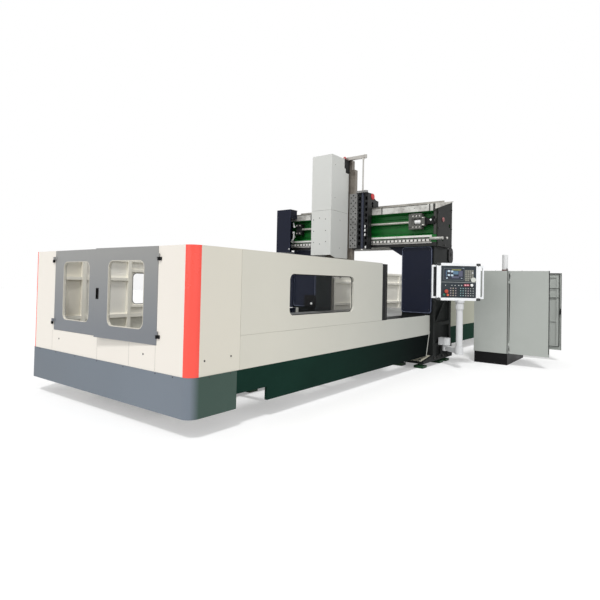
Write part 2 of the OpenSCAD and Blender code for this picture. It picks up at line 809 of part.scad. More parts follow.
module right_door_pane() {
  at_doors() ajar() front_pane(1);
}

// Black pull handle sunk in the right door's free edge.
module door_handle() {
  cz = (sill_top + wall_top) / 2 - 10;
  color([0.06, 0.06, 0.07]) at_doors() ajar() translate([52, front, cz]) difference() {
    block([-26 + run, -4, -66 + run], [26 - run, 20 - run, 66 - run]);
    block([-16, -5, -54], [16, 12, 54]);
  }
}

// Dark green base under the side panels with a raised cut-out at its front and a
// slanted rear end over the column's foot.
module side_bases() {
  y0 = front + skirt_len + run;
  notch_y = front + corner_len + notch_len;
  color([0.11, 0.22, 0.19]) both_sides() {
    translate([half_width - wall, 0, 0]) rotate([90, 0, 90]) linear_extrude(wall)
      polygon([[y0, skirt_top], [y0, skirt_bottom + notch_h], [notch_y, skirt_bottom + notch_h],
               [notch_y, skirt_bottom], [side_end - end_slant, skirt_bottom],
               [side_end - 40, skirt_top]]);
    for (y = [y0 + 900 : 1300 : side_end - 600])
      block([bed_w / 2 + run, y, skirt_bottom + 88], [half_width - wall + 1, y + 60, skirt_bottom + 168]);
  }
}

// Lower cream side panels, each with a bent strip down the slanted end of the base.
module lower_panels() {
  z0 = skirt_top + run;
  color([0.80, 0.80, 0.76]) both_sides() {
    block([half_width - wall, front + corner_len + 2, z0], [half_width, side_end, seam_z - 1]);
    block([half_width - wall - 60, side_end - 18, z0],
          [half_width - wall + 1, side_end, seam_z - 1]);
    translate([half_width + run, 0, 0]) rotate([90, 0, 90]) linear_extrude(5)
      polygon([[side_end - end_slant - 12, skirt_bottom], [side_end - end_slant + 14, skirt_bottom],
               [side_end - 2, z0 + 60], [side_end - 30, z0 + 60]]);
    block([half_width - 5, side_end - 30, z0 + 20], [half_width + 5 + run, side_end - 2, z0 + 60]);
  }
}

// Upper cream side panel with the rounded window.
module upper_panel() {
  y0 = front + corner_len + 2;
  y1 = front + upper_len;
  color([0.83, 0.83, 0.79]) difference() {
    block([half_width - wall, y0, seam_z + 1], [half_width, y1, wall_top]);
    translate([half_width - wall / 2, front + window_y + window_l / 2, window_z + window_h / 2])
      side_plate(window_l, window_h, window_r, wall + 2);
  }
}

module right_upper_panel() {
  upper_panel();
}

module left_upper_panel() {
  mirror([1, 0, 0]) upper_panel();
}

// Clear panes in the side windows with a dark gasket width around.
module side_panes() {
  color([0.75, 0.82, 0.85, 0.4]) both_sides()
    translate([half_width - wall / 2, front + window_y + window_l / 2, window_z + window_h / 2])
      side_plate(window_l - 2 * run, window_h - 2 * run, window_r - run, 6);
}

// Black posts at the rear ends of the upper side panels.
module end_posts() {
  y0 = front + upper_len + run;
  color([0.16, 0.16, 0.17]) both_sides()
    block([half_width - 110, y0, seam_z - 1 + run], [half_width - 6, y0 + 186, wall_top - 12]);
}

// Cream posts and rails folded on the inner faces of the side panels.
module inner_frames() {
  x1 = half_width - wall - run;
  d = 46;
  y0 = front + 150;
  y1 = front + upper_len;
  color([0.90, 0.89, 0.85]) both_sides() {
    for (y = [y0, front + corner_len - 30, front + window_y - 110,
              front + window_y + window_l + 50, y1 - 70])
      block([x1 - d, y, skirt_top + 20], [x1, y + 60, wall_top - 4]);
    block([x1 - d + 6, y0 + 1, wall_top - 382], [x1, front + window_y - 109, wall_top - 334]);
    for (z = [window_z - 50, window_z + window_h + 14])
      block([x1 - d + 6, front + window_y - 109, z], [x1, front + window_y + window_l + 51, z + 36]);
    for (z = [skirt_top + 60, seam_z - 30, wall_top - 70])
      block([x1 - d + 6, y0 + 1, z], [x1, y1 - 1, z + 56]);
  }
}

// Cream rear side panels with inner posts and rails.
module rear_panels() {
  y0 = column_back + 40;
  x1 = rear_half - wall;
  pitch = (half_length - y0 - 340) / 6;
  color([0.84, 0.84, 0.79]) both_sides() {
    block([x1, y0, skirt_top + run], [rear_half, half_length - wall - 1, wall_top]);
    for (i = [0 : 6])
      block([x1 - 46, y0 + 10 + i * pitch, skirt_top + 10],
            [x1 + 1, y0 + 70 + i * pitch, wall_top - 6]);
    for (z = [seam_z + 40, wall_top - 345, wall_top - 66])
      block([x1 - 40, y0 + 11, z], [x1 + 1, half_length - wall - 60, z + 56]);
  }
}

// Dark green base under the rear panels with brackets to the bed.
module rear_bases() {
  y0 = column_back + 40;
  color([0.11, 0.22, 0.19]) both_sides() {
    block([rear_half - wall, y0, skirt_bottom], [rear_half, half_length, skirt_top]);
    for (y = [y0 + 500 : 1300 : half_length - 600])
      block([bed_w / 2 + run, y, skirt_bottom + 88], [rear_half - wall + 1, y + 60, skirt_bottom + 168]);
  }
}

// Rear end wall closing the guarding behind the bed.
module rear_end() {
  color([0.84, 0.84, 0.79]) {
    block([-rear_half + run, half_length - wall, skirt_top + run],
          [rear_half - run, half_length, wall_top]);
    block([-rear_half + wall + run, half_length - wall, skirt_bottom],
          [rear_half - wall - run, half_length, skirt_top + 1]);
  }
}

// Switch cabinet: folded shell open toward its doors, with inner door lips.
module cabinet() {
  x0 = cab_x - cab_d;
  t = 20;
  z0 = plinth_h + run;
  y1 = cab_y + cab_w;
  color([0.69, 0.72, 0.69]) {
    block([x0, cab_y, z0], [x0 + t, y1, cab_top]);
    block([x0 + t, cab_y, z0], [cab_x, cab_y + t, cab_top]);
    block([x0 + t, y1 - t, z0], [cab_x, y1, cab_top]);
    block([x0 + t, cab_y + t, z0], [cab_x, y1 - t, z0 + t]);
    block([x0 + t, cab_y + t, cab_top - t], [cab_x, y1 - t, cab_top]);
    for (z = [z0 + t, cab_top - t - 34])
      block([cab_x - 20, cab_y + t, z], [cab_x, y1 - t, z + 34]);
    for (y = [cab_y + t, y1 - t - 34])
      block([cab_x - 20, y, z0 + t + 33], [cab_x, y + 34, cab_top - t - 33]);
    for (s = [-1, 1], z = cab_hinge_z)
      translate([cab_pin[0], s > 0 ? cab_y + cab_pin[1] : y1 - cab_pin[1], z]) {
        cylinder(h = 50 - run, d = 10, $fn = fine);
        block([-play - cab_door_t - 20, -2, 0], [0, 2, 50 - run]);
      }
  }
}

// Black plinth under the cabinet.
module cabinet_plinth() {
  color([0.07, 0.08, 0.09])
    block([cab_x - cab_d + 12, cab_y + 6, 0], [cab_x - 6, cab_y + cab_w - 12, plinth_h]);
}

// Mounting plate in the cabinet with drives, switchgear rows and wire ducts.
module cabinet_fittings() {
  x0 = cab_x - cab_d + 20 + run;
  zb = plinth_h + 90;
  unit = (cab_w - 210) / 6;
  slot = (cab_w - 226) / 13;
  color([0.75, 0.73, 0.68]) {
    block([x0, cab_y + 70, zb], [x0 + 18, cab_y + cab_w - 70, cab_top - 90]);
    for (z = [0, 1, 2, 3])
      block([x0 + 17, cab_y + 100, zb + 40 + z * 390], [x0 + 75, cab_y + cab_w - 100, zb + 100 + z * 390]);
    for (i = [0 : 5])
      block([x0 + 17, cab_y + 150 + i * unit, zb + 880], [x0 + 240, cab_y + 320 + i * unit, zb + 1200]);
    for (r = [0, 1], i = [0 : 12])
      block([x0 + 17, cab_y + 140 + i * slot, zb + 150 + r * 390],
            [x0 + 120, cab_y + 214 + i * slot, zb + 290 + r * 390]);
  }
}

// Cabinet door standing square to the cabinet, flanged, with an inner stiffener.
// It is drawn from its hinge pin, with its outer skin turned to the pin's side.
module cabinet_door(s) {
  h0 = plinth_h + 8;
  h1 = cab_top - 4;
  t = 3;
  x0 = play;
  x1 = x0 + cab_door_w;
  y0 = 3;
  y1 = y0 + cab_door_t;
  color([0.69, 0.72, 0.69])
    translate([cab_pin[0], s > 0 ? cab_y + cab_pin[1] : cab_y + cab_w - cab_pin[1], 0])
      mirror([0, s > 0 ? 0 : 1, 0]) {
        block([x0, y0, h0], [x1, y0 + t, h1]);
        for (z = [h0, h1 - t]) block([x0, y0 + t - 1, z], [x1, y1, z + t]);
        for (x = [x0, x1 - t]) block([x, y0 + t - 1, h0 + t - 1], [x + t, y1, h1 - t + 1]);
        for (z = [h0 + 60, h0 + 620, h0 + 1130, h1 - 100])
          block([x0 + 60, y0 + t - 1, z], [x1 - 64, y1 - 3, z + 36]);
        for (x = [x0 + 60, x1 - 100])
          block([x, y0 + t - 1, h0 + 60], [x + 36, y1 - 3, h1 - 64]);
        for (z = cab_hinge_z)
          translate([0, 0, z + 50]) {
            cylinder(h = 50, d = 10, $fn = fine);
            block([0, -2, 0], [30, y0 + 1, 50]);
          }
      }
}

module cabinet_near_door() {
  cabinet_door(1);
}

module cabinet_far_door() {
  cabinet_door(-1);
}

// Slim light column on the cabinet top, on a small dark red base.
module cabinet_lamp() {
  translate([cab_x - 93, cab_y + 110, cab_top + run]) {
    color([0.45, 0.13, 0.12]) cylinder(h = 26, d = 126, $fn = fine);
    color([0.93, 0.94, 0.94]) translate([0, 0, 25]) cylinder(h = 308, d = 113, $fn = fine);
  }
}

// Pivot block of the pendant arm, bolted to the column's side.
module pendant_pivot() {
  color([0.86, 0.86, 0.82]) difference() {
    union() {
      block([column_out + run, pivot_y - 75, pivot_z], [column_out + 90, pivot_y + 75, pivot_z + 148]);
      translate([pivot_x, pivot_y, pivot_z]) cylinder(h = 148, d = 170, $fn = fine);
    }
    translate([pivot_x, pivot_y, pivot_z - 1]) cylinder(h = 60, d = 61, $fn = fine);
  }
}

// Pendant arm: hub with a pin, a sloped box arm and a socket for the pole.
module pendant_arm() {
  dx = pole_x - pivot_x;
  dy = pole_y - pivot_y;
  len = sqrt(dx * dx + dy * dy);
  color([0.84, 0.84, 0.82]) {
    translate([pivot_x, pivot_y, 0]) {
      translate([0, 0, arm_z - 38]) cylinder(h = pivot_z - arm_z + 38 - run, d = 136, $fn = fine);
      translate([0, 0, arm_z + 20]) cylinder(h = pivot_z - arm_z + 28, d = 60, $fn = fine);
      rotate([0, 0, atan2(dy, dx)])
        block([0, -48, arm_z - 30], [len - 40, 48, arm_z + 66]);
    }
    translate([pole_x, pole_y, 0]) difference() {
      translate([0, 0, arm_z - 42]) cylinder(h = 150, d = pole_d + 34, $fn = fine);
      translate([0, 0, arm_z - 10]) cylinder(h = 151, d = 71, $fn = fine);
    }
  }
}

// Pendant pole with its foot journal, top collar and mounting head.
module pendant_pole() {
  z0 = arm_z + 108 + run;
  color([0.82, 0.83, 0.84]) translate([pole_x, pole_y, 0]) {
    translate([0, 0, z0]) cylinder(h = pendant_z - 20 - z0, d = pole_d, $fn = fine);
    translate([0, 0, arm_z]) cylinder(h = z0 - arm_z + 1, d = 70, $fn = fine);
    translate([0, 0, pendant_z - 170]) cylinder(h = 110, d = pole_d + 30, $fn = fine);
    translate([0, 0, pendant_z - 40]) cylinder(h = 40 - run, d = pole_d + 56, $fn = fine);
  }
}

// Places children on the pendant's own axes: x to its right, z up, front at -y.
module at_pendant() {
  translate([pole_x, pole_y, pendant_z]) rotate([0, 0, pendant_turn])
    translate([pendant_shift, 0, 0]) children();
}

// Pendant box: aluminium frame bars with dark corner blocks round a deep case.
module pendant_box() {
  w = pendant_w;
  h = pendant_h;
  t = pendant_t;
  bar = 84;
  color([0.92, 0.93, 0.94]) at_pendant() {
    block([-w / 2 + bar, -t / 2 + 20, 50], [w / 2 - bar, t / 2, h - 50]);
    for (z = [0, h - 52])
      block([-w / 2 + bar - 1, -t / 2, z], [w / 2 - bar + 1, t / 2, z + 52]);
    for (s = [-1, 1])
      translate([s * (w / 2 - bar / 2), 0, 0]) {
        block([-bar / 2, -t / 2, 22], [bar / 2, t / 2, h - 22]);
        block([-bar / 2 + 8, -t / 2 + 8, 4], [bar / 2 - 14, t / 2 - 8, h - 4]);
      }
  }
}

// Dark operator panel with bezel, screen, keys, knob and stop button.
module pendant_panel() {
  w = pendant_w - 168;
  h = pendant_h - 104;
  y0 = -pendant_t / 2 + 20;
  color([0.24, 0.27, 0.29]) at_pendant() {
    difference() {
      block([-w / 2 + run, y0 - 14, 52 + run], [w / 2 - run, y0 - run, 52 + h - run]);
      block([-w / 2 + 60, y0 - 15, 400], [w / 2 - 240, y0 - 8, 610]);
    }
    translate([-w / 2 + 95, y0 - 14, 170]) rotate([90, 0, 0]) cylinder(h = 26, d = 58, $fn = fine);
    translate([w / 2 - 90, y0 - 14, 300]) rotate([90, 0, 0]) cylinder(h = 24, d = 50, $fn = fine);
    for (r = [0 : 5], c = [0 : 3])
      translate([w / 2 - 196 + c * 42, y0 - 20, 394 + r * 36]) block([-16, 0, -13], [16, 7, 13]);
    for (r = [0 : 3], c = [0 : 9])
      translate([-w / 2 + 190 + c * 48, y0 - 20, 96 + r * 46]) block([-16, 0, -14], [16, 7, 14]);
  }
}

// Grab handles on both sides of the pendant.
module pendant_handles() {
  w = pendant_w / 2;
  color([0.90, 0.91, 0.92]) at_pendant() both_sides() {
    block([w + 52, -42, 40], [w + 80, -12, pendant_h - 40]);
    for (z = [40, pendant_h - 74])
      block([w + run, -42, z], [w + 53, -12, z + 34]);
  }
}

bed();
levelling_pads();
table();
left_column();
right_column();
beam();
beam_rails();
cross_screw();
screw_housings();
cross_motor();
top_tray();
beam_end_plates();
beam_gussets();
column_covers();
left_cable_cover();
saddle();
gib_plates();
balance_cylinders();
balance_rods();
ram();
ram_cover();
ram_drive();
spindle();
front_skirt();
corner_strips();
front_left_panel();
front_right_panel();
front_sill();
door_hinges();
left_door();
left_door_pane();
right_door();
right_door_pane();
door_handle();
side_bases();
lower_panels();
right_upper_panel();
left_upper_panel();
side_panes();
end_posts();
inner_frames();
rear_panels();
rear_bases();
rear_end();
cabinet();
cabinet_plinth();
cabinet_fittings();
cabinet_near_door();
cabinet_far_door();
cabinet_lamp();
pendant_pivot();
pendant_arm();
pendant_pole();
pendant_box();
pendant_panel();
pendant_handles();
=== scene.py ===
"""Looks of a gantry milling machine: finishes, fitted pieces, fasteners, stage and light."""

import math

import bmesh
import bpy
import numpy as np
from mathutils import Matrix, Vector


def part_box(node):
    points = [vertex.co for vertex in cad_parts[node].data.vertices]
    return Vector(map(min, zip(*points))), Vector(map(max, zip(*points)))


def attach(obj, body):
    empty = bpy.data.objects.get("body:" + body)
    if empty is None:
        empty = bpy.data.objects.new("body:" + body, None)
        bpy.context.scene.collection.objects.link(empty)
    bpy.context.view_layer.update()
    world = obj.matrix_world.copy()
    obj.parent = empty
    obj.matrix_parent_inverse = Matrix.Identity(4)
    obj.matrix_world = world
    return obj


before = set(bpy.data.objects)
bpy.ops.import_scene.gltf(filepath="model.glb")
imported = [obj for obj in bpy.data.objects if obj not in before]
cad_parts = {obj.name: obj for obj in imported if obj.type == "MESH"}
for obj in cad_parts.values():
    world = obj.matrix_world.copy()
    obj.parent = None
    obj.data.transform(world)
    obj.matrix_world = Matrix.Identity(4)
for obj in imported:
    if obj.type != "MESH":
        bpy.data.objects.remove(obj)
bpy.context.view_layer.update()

# Camera of the photograph, in metres and degrees
CAMERA_PLACE = Vector((5.369, -9.660, 1.5885))
CAMERA_HEADING = 37.277
CAMERA_PITCH = -1.2735
CAMERA_ROLL = 1.2112
CAMERA_LENS = 28.322
CAMERA_SHIFT = -0.0451

# Colours of the finishes, as seen on screen
CREAM = (0.920, 0.898, 0.862)
INNER_CREAM = (0.975, 0.962, 0.915)
# Darker copy of the cream for faces turned to the side: painted shade
SHADED_SIDE_CREAM = (0.858, 0.848, 0.800)
DOOR_GREY = (0.575, 0.576, 0.570)
SKIRT_GREY = (0.450, 0.485, 0.525)
CORAL = (0.985, 0.320, 0.265)
DARK_GREEN = (0.098, 0.205, 0.172)
MACHINE_GREEN = (0.078, 0.435, 0.165)
NAVY = (0.090, 0.108, 0.172)
CAST_DARK = (0.098, 0.108, 0.106)
SADDLE_DARK = (0.095, 0.098, 0.105)
PLATE_DARK = (0.100, 0.103, 0.095)
BLACK = (0.050, 0.050, 0.055)
GROUND_STEEL = (0.700, 0.690, 0.670)
RAM_STEEL = (0.535, 0.510, 0.475)
HOUSING_GREY = (0.360, 0.362, 0.345)
COVER_GREY = (0.835, 0.840, 0.825)
CABINET_GREY = (0.685, 0.702, 0.682)
LIGHT_METAL = (0.820, 0.825, 0.830)
ALUMINIUM = (0.930, 0.938, 0.945)
PANEL_DARK = (0.210, 0.235, 0.255)

# Edges of the fitted pieces stay sharp from this angle, in degrees
SHARP_FROM = 35

# Share of the surround's light that reaches the machine, and of white that the floor shows
AMBIENT = 0.56
FLOOR_SHOWN = 0.30

# Places that several pieces share, in metres, and two angles in degrees
RIGHT_DOOR_HINGE = (1.175, -6.6135)
RIGHT_DOOR_AJAR = 3.5
RAM_X = -0.288
BALANCE_X = 0.593
BALANCE_Y = -0.842
SCREW_Z = 2.890
PENDANT_BASE = 1.322
PENDANT_SHIFT = 0.055
PENDANT_TURN = 37.0


def linear(colour):
    """Screen colour to linear light: the power curve of the sRGB standard."""
    c = np.asarray(colour, float)
    return np.where(c <= 0.04045, c / 12.92, ((c + 0.055) / 1.055) ** 2.4)


def rgba(colour):
    """Screen colour as a colour socket takes it: linear light and full opacity."""
    return (*[float(v) for v in linear(colour)], 1.0)


def feed(tree, value, socket):
    """Links another node's output to the socket, or sets a plain value on it."""
    if isinstance(value, bpy.types.NodeSocket):
        tree.links.new(value, socket)
    else:
        socket.default_value = value


def new_group(name, inputs):
    """Effect group with named inputs that puts out colour, roughness and height; returns
    it with its two end nodes."""
    group = bpy.data.node_groups.new(name, "ShaderNodeTree")
    for socket, value in inputs.items():
        kind = "NodeSocketColor" if isinstance(value, tuple) else "NodeSocketFloat"
        made = group.interface.new_socket(socket, in_out="INPUT", socket_type=kind)
        made.default_value = value
    for socket, kind in (("Colour", "NodeSocketColor"), ("Roughness", "NodeSocketFloat"),
                         ("Height", "NodeSocketFloat")):
        group.interface.new_socket(socket, in_out="OUTPUT", socket_type=kind)
    return group, group.nodes.new("NodeGroupInput"), group.nodes.new("NodeGroupOutput")


def put_out(group, end, colour, roughness, height):
    """Links the effect's three results to its output node."""
    for name, value in (("Colour", colour), ("Roughness", roughness), ("Height", height)):
        group.links.new(value, end.inputs[name])


def noise(group, scale, detail, coordinate, roughness=0.5):
    """Cloudy noise between 0 and 1."""
    node = group.nodes.new("ShaderNodeTexNoise")
    for name, value in (("Vector", coordinate), ("Scale", scale), ("Detail", detail),
                        ("Roughness", roughness)):
        feed(group, value, node.inputs[name])
    return node.outputs["Fac"]


def remap(group, value, low, high, out_low=0.0, out_high=1.0):
    """Value carried from low..high to out_low..out_high and held beyond both ends."""
    node = group.nodes.new("ShaderNodeMapRange")
    for name, part in (("Value", value), ("From Min", low), ("From Max", high),
                       ("To Min", out_low), ("To Max", out_high)):
        feed(group, part, node.inputs[name])
    return node.outputs["Result"]


def maths(group, operation, first, second):
    """One sum, difference, product or maximum of two values."""
    node = group.nodes.new("ShaderNodeMath")
    node.operation = operation
    for socket, value in zip(node.inputs, (first, second)):
        feed(group, value, socket)
    return node.outputs["Value"]


def mix_colour(group, factor, first, second, blend="MIX"):
    """First colour passing to the second as the factor goes from 0 to 1."""
    node = group.nodes.new("ShaderNodeMix")
    node.data_type = "RGBA"
    node.blend_type = blend
    feed(group, factor, node.inputs["Factor"])
    colours = [socket for socket in node.inputs if socket.type == "RGBA"]
    for socket, value in zip(colours, (first, second)):
        feed(group, value, socket)
    return [socket for socket in node.outputs if socket.type == "RGBA"][0]


def object_place(group, stretch=(1, 1, 1)):
    """Object coordinates times a factor for each axis."""
    coordinate = group.nodes.new("ShaderNodeTexCoord")
    mapping = group.nodes.new("ShaderNodeMapping")
    mapping.inputs["Scale"].default_value = stretch
    group.links.new(coordinate.outputs["Object"], mapping.inputs["Vector"])
    return mapping.outputs["Vector"]


def make_enamel_group():
    """Enamel: broad cloudy tone, and dust in patches where a face looks up."""
    group, start, end = new_group(
        "sprayed enamel",
        {"Colour": (0.5, 0.5, 0.5, 1), "Clouding": 0.1, "Cloud scale": 1.5, "Dust": 0.2,
         "Gloss change": 0.1, "Roughness": 0.4})
    place = object_place(group)
    cloud = maths(group, "SUBTRACT",
                  noise(group, start.outputs["Cloud scale"], 5, place, 0.6), 0.5)
    swing = maths(group, "MULTIPLY", cloud, start.outputs["Clouding"])
    grey = mix_colour(group, maths(group, "ADD", swing, 0.5), (0, 0, 0, 1), (1, 1, 1, 1))
    toned = mix_colour(group, 1.0, start.outputs["Colour"], grey, "SOFT_LIGHT")
    geometry = group.nodes.new("ShaderNodeNewGeometry")
    split = group.nodes.new("ShaderNodeSeparateXYZ")
    group.links.new(geometry.outputs["Normal"], split.inputs["Vector"])
    up = remap(group, split.outputs["Z"], 0.5, 1.0)
    patch = remap(group, noise(group, 9.0, 4, place), 0.35, 0.7, 0.3, 1.0)
    dusty = maths(group, "MULTIPLY", maths(group, "MULTIPLY", up, patch),
                  start.outputs["Dust"])
    dusted = mix_colour(group, dusty, toned, (0.34, 0.33, 0.30, 1))
    rough = maths(group, "ADD", start.outputs["Roughness"],
                  maths(group, "MULTIPLY", cloud, start.outputs["Gloss change"]))
    put_out(group, end, dusted,
            maths(group, "ADD", rough, maths(group, "MULTIPLY", dusty, 0.3)),
            noise(group, 340.0, 2, place))
    return group


def make_casting_group():
    """Painted sand casting: grainy skin, oily darker patches and worn lighter edges."""
    group, start, end = new_group(
        "painted casting",
        {"Colour": (0.2, 0.2, 0.2, 1), "Wear colour": (0.4, 0.4, 0.4, 1), "Wear": 0.4,
         "Stain": 0.4, "Roughness": 0.5})
    place = object_place(group)
    patches = remap(group, noise(group, 2.2, 6, place, 0.62), 0.38, 0.66)
    stain = maths(group, "MULTIPLY", patches, start.outputs["Stain"])
    dark = mix_colour(group, stain, start.outputs["Colour"], (0.012, 0.014, 0.014, 1))
    bevel = group.nodes.new("ShaderNodeBevel")
    bevel.samples = 4
    bevel.inputs["Radius"].default_value = 0.012
    geometry = group.nodes.new("ShaderNodeNewGeometry")
    dot = group.nodes.new("ShaderNodeVectorMath")
    dot.operation = "DOT_PRODUCT"
    group.links.new(bevel.outputs["Normal"], dot.inputs[0])
    group.links.new(geometry.outputs["True Normal"], dot.inputs[1])
    edge = remap(group, dot.outputs["Value"], 0.97, 0.86)
    broken = remap(group, noise(group, 30.0, 5, place, 0.7), 0.40, 0.60)
    worn = maths(group, "MULTIPLY", maths(group, "MULTIPLY", edge, broken),
                 start.outputs["Wear"])
    put_out(group, end, mix_colour(group, worn, dark, start.outputs["Wear colour"]),
            maths(group, "SUBTRACT", start.outputs["Roughness"],
                  maths(group, "MULTIPLY", stain, 0.15)),
            noise(group, 160.0, 6, place, 0.7))
    return group


def make_ground_group():
    """Ground steel: fine lines along one axis, light smears of oil."""
    group, start, end = new_group(
        "ground metal",
        {"Colour": (0.6, 0.6, 0.6, 1), "Stain colour": (0.3, 0.25, 0.2, 1), "Stain": 0.3,
         "Roughness": 0.35})
    lines = noise(group, 60.0, 3, object_place(group, (0.05, 1, 6)), 0.6)
    place = object_place(group)
    smear = remap(group, noise(group, 3.5, 6, place, 0.65), 0.42, 0.70)
    stained = maths(group, "MULTIPLY", smear, start.outputs["Stain"])
    rough = maths(group, "ADD", start.outputs["Roughness"],
                  maths(group, "MULTIPLY", maths(group, "SUBTRACT", lines, 0.5), 0.25))
    put_out(group, end, mix_colour(group, stained, start.outputs["Colour"],
                                   start.outputs["Stain colour"]), rough, lines)
    return group


ENAMEL = make_enamel_group()
CASTING = make_casting_group()
GROUND = make_ground_group()


def shader_material(name, settings):
    """Material whose Principled BSDF has the given plain values; returns its node tree and
    shader too."""
    material = bpy.data.materials.new(name)
    material.use_nodes = True
    shader = material.node_tree.nodes["Principled BSDF"]
    for socket, value in settings.items():
        shader.inputs[socket].default_value = value
    return material, material.node_tree, shader


def new_material(name, group, values, bump, bump_distance=0.0006, metallic=0.0,
                 specular=0.5):
    """Material of one Principled BSDF fed by an effect group with its own values."""
    material, tree, shader = shader_material(
        name, {"Metallic": metallic, "Specular IOR Level": specular})
    effect = tree.nodes.new("ShaderNodeGroup")
    effect.node_tree = group
    for socket, value in values.items():
        effect.inputs[socket].default_value = value
    relief = tree.nodes.new("ShaderNodeBump")
    relief.inputs["Strength"].default_value = bump
    relief.inputs["Distance"].default_value = bump_distance
    tree.links.new(effect.outputs["Colour"], shader.inputs["Base Color"])
    tree.links.new(effect.outputs["Roughness"], shader.inputs["Roughness"])
    tree.links.new(effect.outputs["Height"], relief.inputs["Height"])
    tree.links.new(relief.outputs["Normal"], shader.inputs["Normal"])
    return material


def enamel(name, colour, clouding, cloud_scale, dust, gloss_change, roughness, specular=0.4,
           bump=0.08):
    """Sprayed enamel of one colour."""
    values = {"Colour": rgba(colour), "Clouding": clouding, "Cloud scale": cloud_scale,
              "Dust": dust, "Gloss change": gloss_change, "Roughness": roughness}
    return new_material(name, ENAMEL, values, bump, specular=specular)


def casting(name, colour, wear_colour, wear, stain, roughness, specular=0.25, bump=0.35):
    """Painted casting with its own wear and stains."""
    values = {"Colour": rgba(colour), "Wear colour": rgba(wear_colour), "Wear": wear,
              "Stain": stain, "Roughness": roughness}
    return new_material(name, CASTING, values, bump, 0.0012, specular=specular)


def ground(name, colour, stain_colour, stain, roughness, metallic=0.6):
    """Ground or drawn metal with smears of oil."""
    values = {"Colour": rgba(colour), "Stain colour": rgba(stain_colour), "Stain": stain,
              "Roughness": roughness}
    return new_material(name, GROUND, values, 0.1, 0.0004, metallic)


def clear_sheet(name, colour, alpha):
    """Thin clear sheet: almost open, with faint smudges and a weak reflection."""
    material, tree, shader = shader_material(
        name, {"Base Color": rgba(colour), "Specular IOR Level": 0.1})
    smudge = noise(tree, 5.0, 5, object_place(tree))
    tree.links.new(remap(tree, smudge, 0.3, 0.7, alpha * 0.6, alpha * 1.4),
                   shader.inputs["Alpha"])
    tree.links.new(remap(tree, smudge, 0.3, 0.7, 0.10, 0.30), shader.inputs["Roughness"])
    return material


def tone_past(material, axis, start, end, other):
    """Second colour past a plane: the mix follows one Object coordinate."""
    tree = material.node_tree
    colour = [node for node in tree.nodes if node.type == "GROUP"][0].inputs["Colour"]
    split = tree.nodes.new("ShaderNodeSeparateXYZ")
    tree.links.new(object_place(tree), split.inputs["Vector"])
    share = remap(tree, split.outputs[axis], start, end)
    first = colour.links[0].from_socket if colour.is_linked else tuple(colour.default_value)
    tree.links.new(mix_colour(tree, share, first, rgba(other)), colour)


# Numbers of an enamel: clouding, cloud scale, dust, gloss change, roughness, specular
cream_coat = enamel("cream powder coat", CREAM, 0.10, 0.7, 0.15, 0.1, 0.46)
inner_coat = enamel("inner cream coat", INNER_CREAM, 0.14, 0.9, 0.25, 0.1, 0.55, 0.2)
# Shaded copy of the cream powder coat for the side panels: painted shade
shaded_side_coat = enamel("cream powder coat, shaded copy for side faces", SHADED_SIDE_CREAM, 0.12, 0.7, 0.15, 0.1, 0.50, 0.25)
# Left and rear walls: a lighter cream than the front on their inner faces is painted light, and
# the darker creams past the tones below on their outer faces are painted shade
left_wall_painted_light_coat = enamel("left wall cream with painted light and shade", (0.985, 0.975, 0.940), 0.12, 0.7, 0.15, 0.1, 0.50, 0.2)
rear_wall_painted_light_coat = enamel("rear wall cream with painted light and shade", (0.985, 0.975, 0.940), 0.12, 0.7, 0.2, 0.1, 0.50, 0.2)
door_coat = enamel("door grey coat", DOOR_GREY, 0.08, 1.0, 0.15, 0.15, 0.45, 0.3)
skirt_coat = enamel("skirt grey coat", SKIRT_GREY, 0.14, 1.1, 0.2, 0.2, 0.42, 0.3)
coral_coat = enamel("coral strip coat", CORAL, 0.20, 1.3, 0.1, 0.1, 0.26, 0.5)
green_base = enamel("dark green base coat", DARK_GREEN, 0.35, 1.6, 0.25, 0.2, 0.60, 0.02)
cabinet_coat = enamel("cabinet grey coat", CABINET_GREY, 0.30, 1.1, 0.15, 0.25, 0.48, 0.3)
cabinet_door_coat = enamel("cabinet door coat", CABINET_GREY, 0.14, 1.1, 0.15, 0.25, 0.48, 0.3)
cover_coat = enamel("ram cover coat", COVER_GREY, 0.08, 0.8, 0.1, 0.1, 0.46, 0.25)
light_coat = enamel("pendant post coat", LIGHT_METAL, 0.16, 4.0, 0.2, 0.2, 0.38)
black_coat = enamel("black enamel", BLACK, 0.3, 3.0, 0.15, 0.2, 0.45, 0.15)
housing_coat = enamel("housing grey enamel", HOUSING_GREY, 0.3, 6.0, 0.2, 0.2, 0.45, 0.3)
panel_coat = enamel("panel membrane", PANEL_DARK, 0.1, 9.0, 0.05, 0.1, 0.40, 0.15)
lamp_coat = enamel("white duct", (0.865, 0.868, 0.868), 0.05, 3.0, 0.05, 0.05, 0.4)
frame_coat = enamel("anodised frame", ALUMINIUM, 0.06, 5.0, 0.05, 0.1, 0.35)
drive_coat = enamel("drive box enamel", (0.14, 0.14, 0.14), 0.3, 3.0, 0.15, 0.2, 0.5, 0.15)
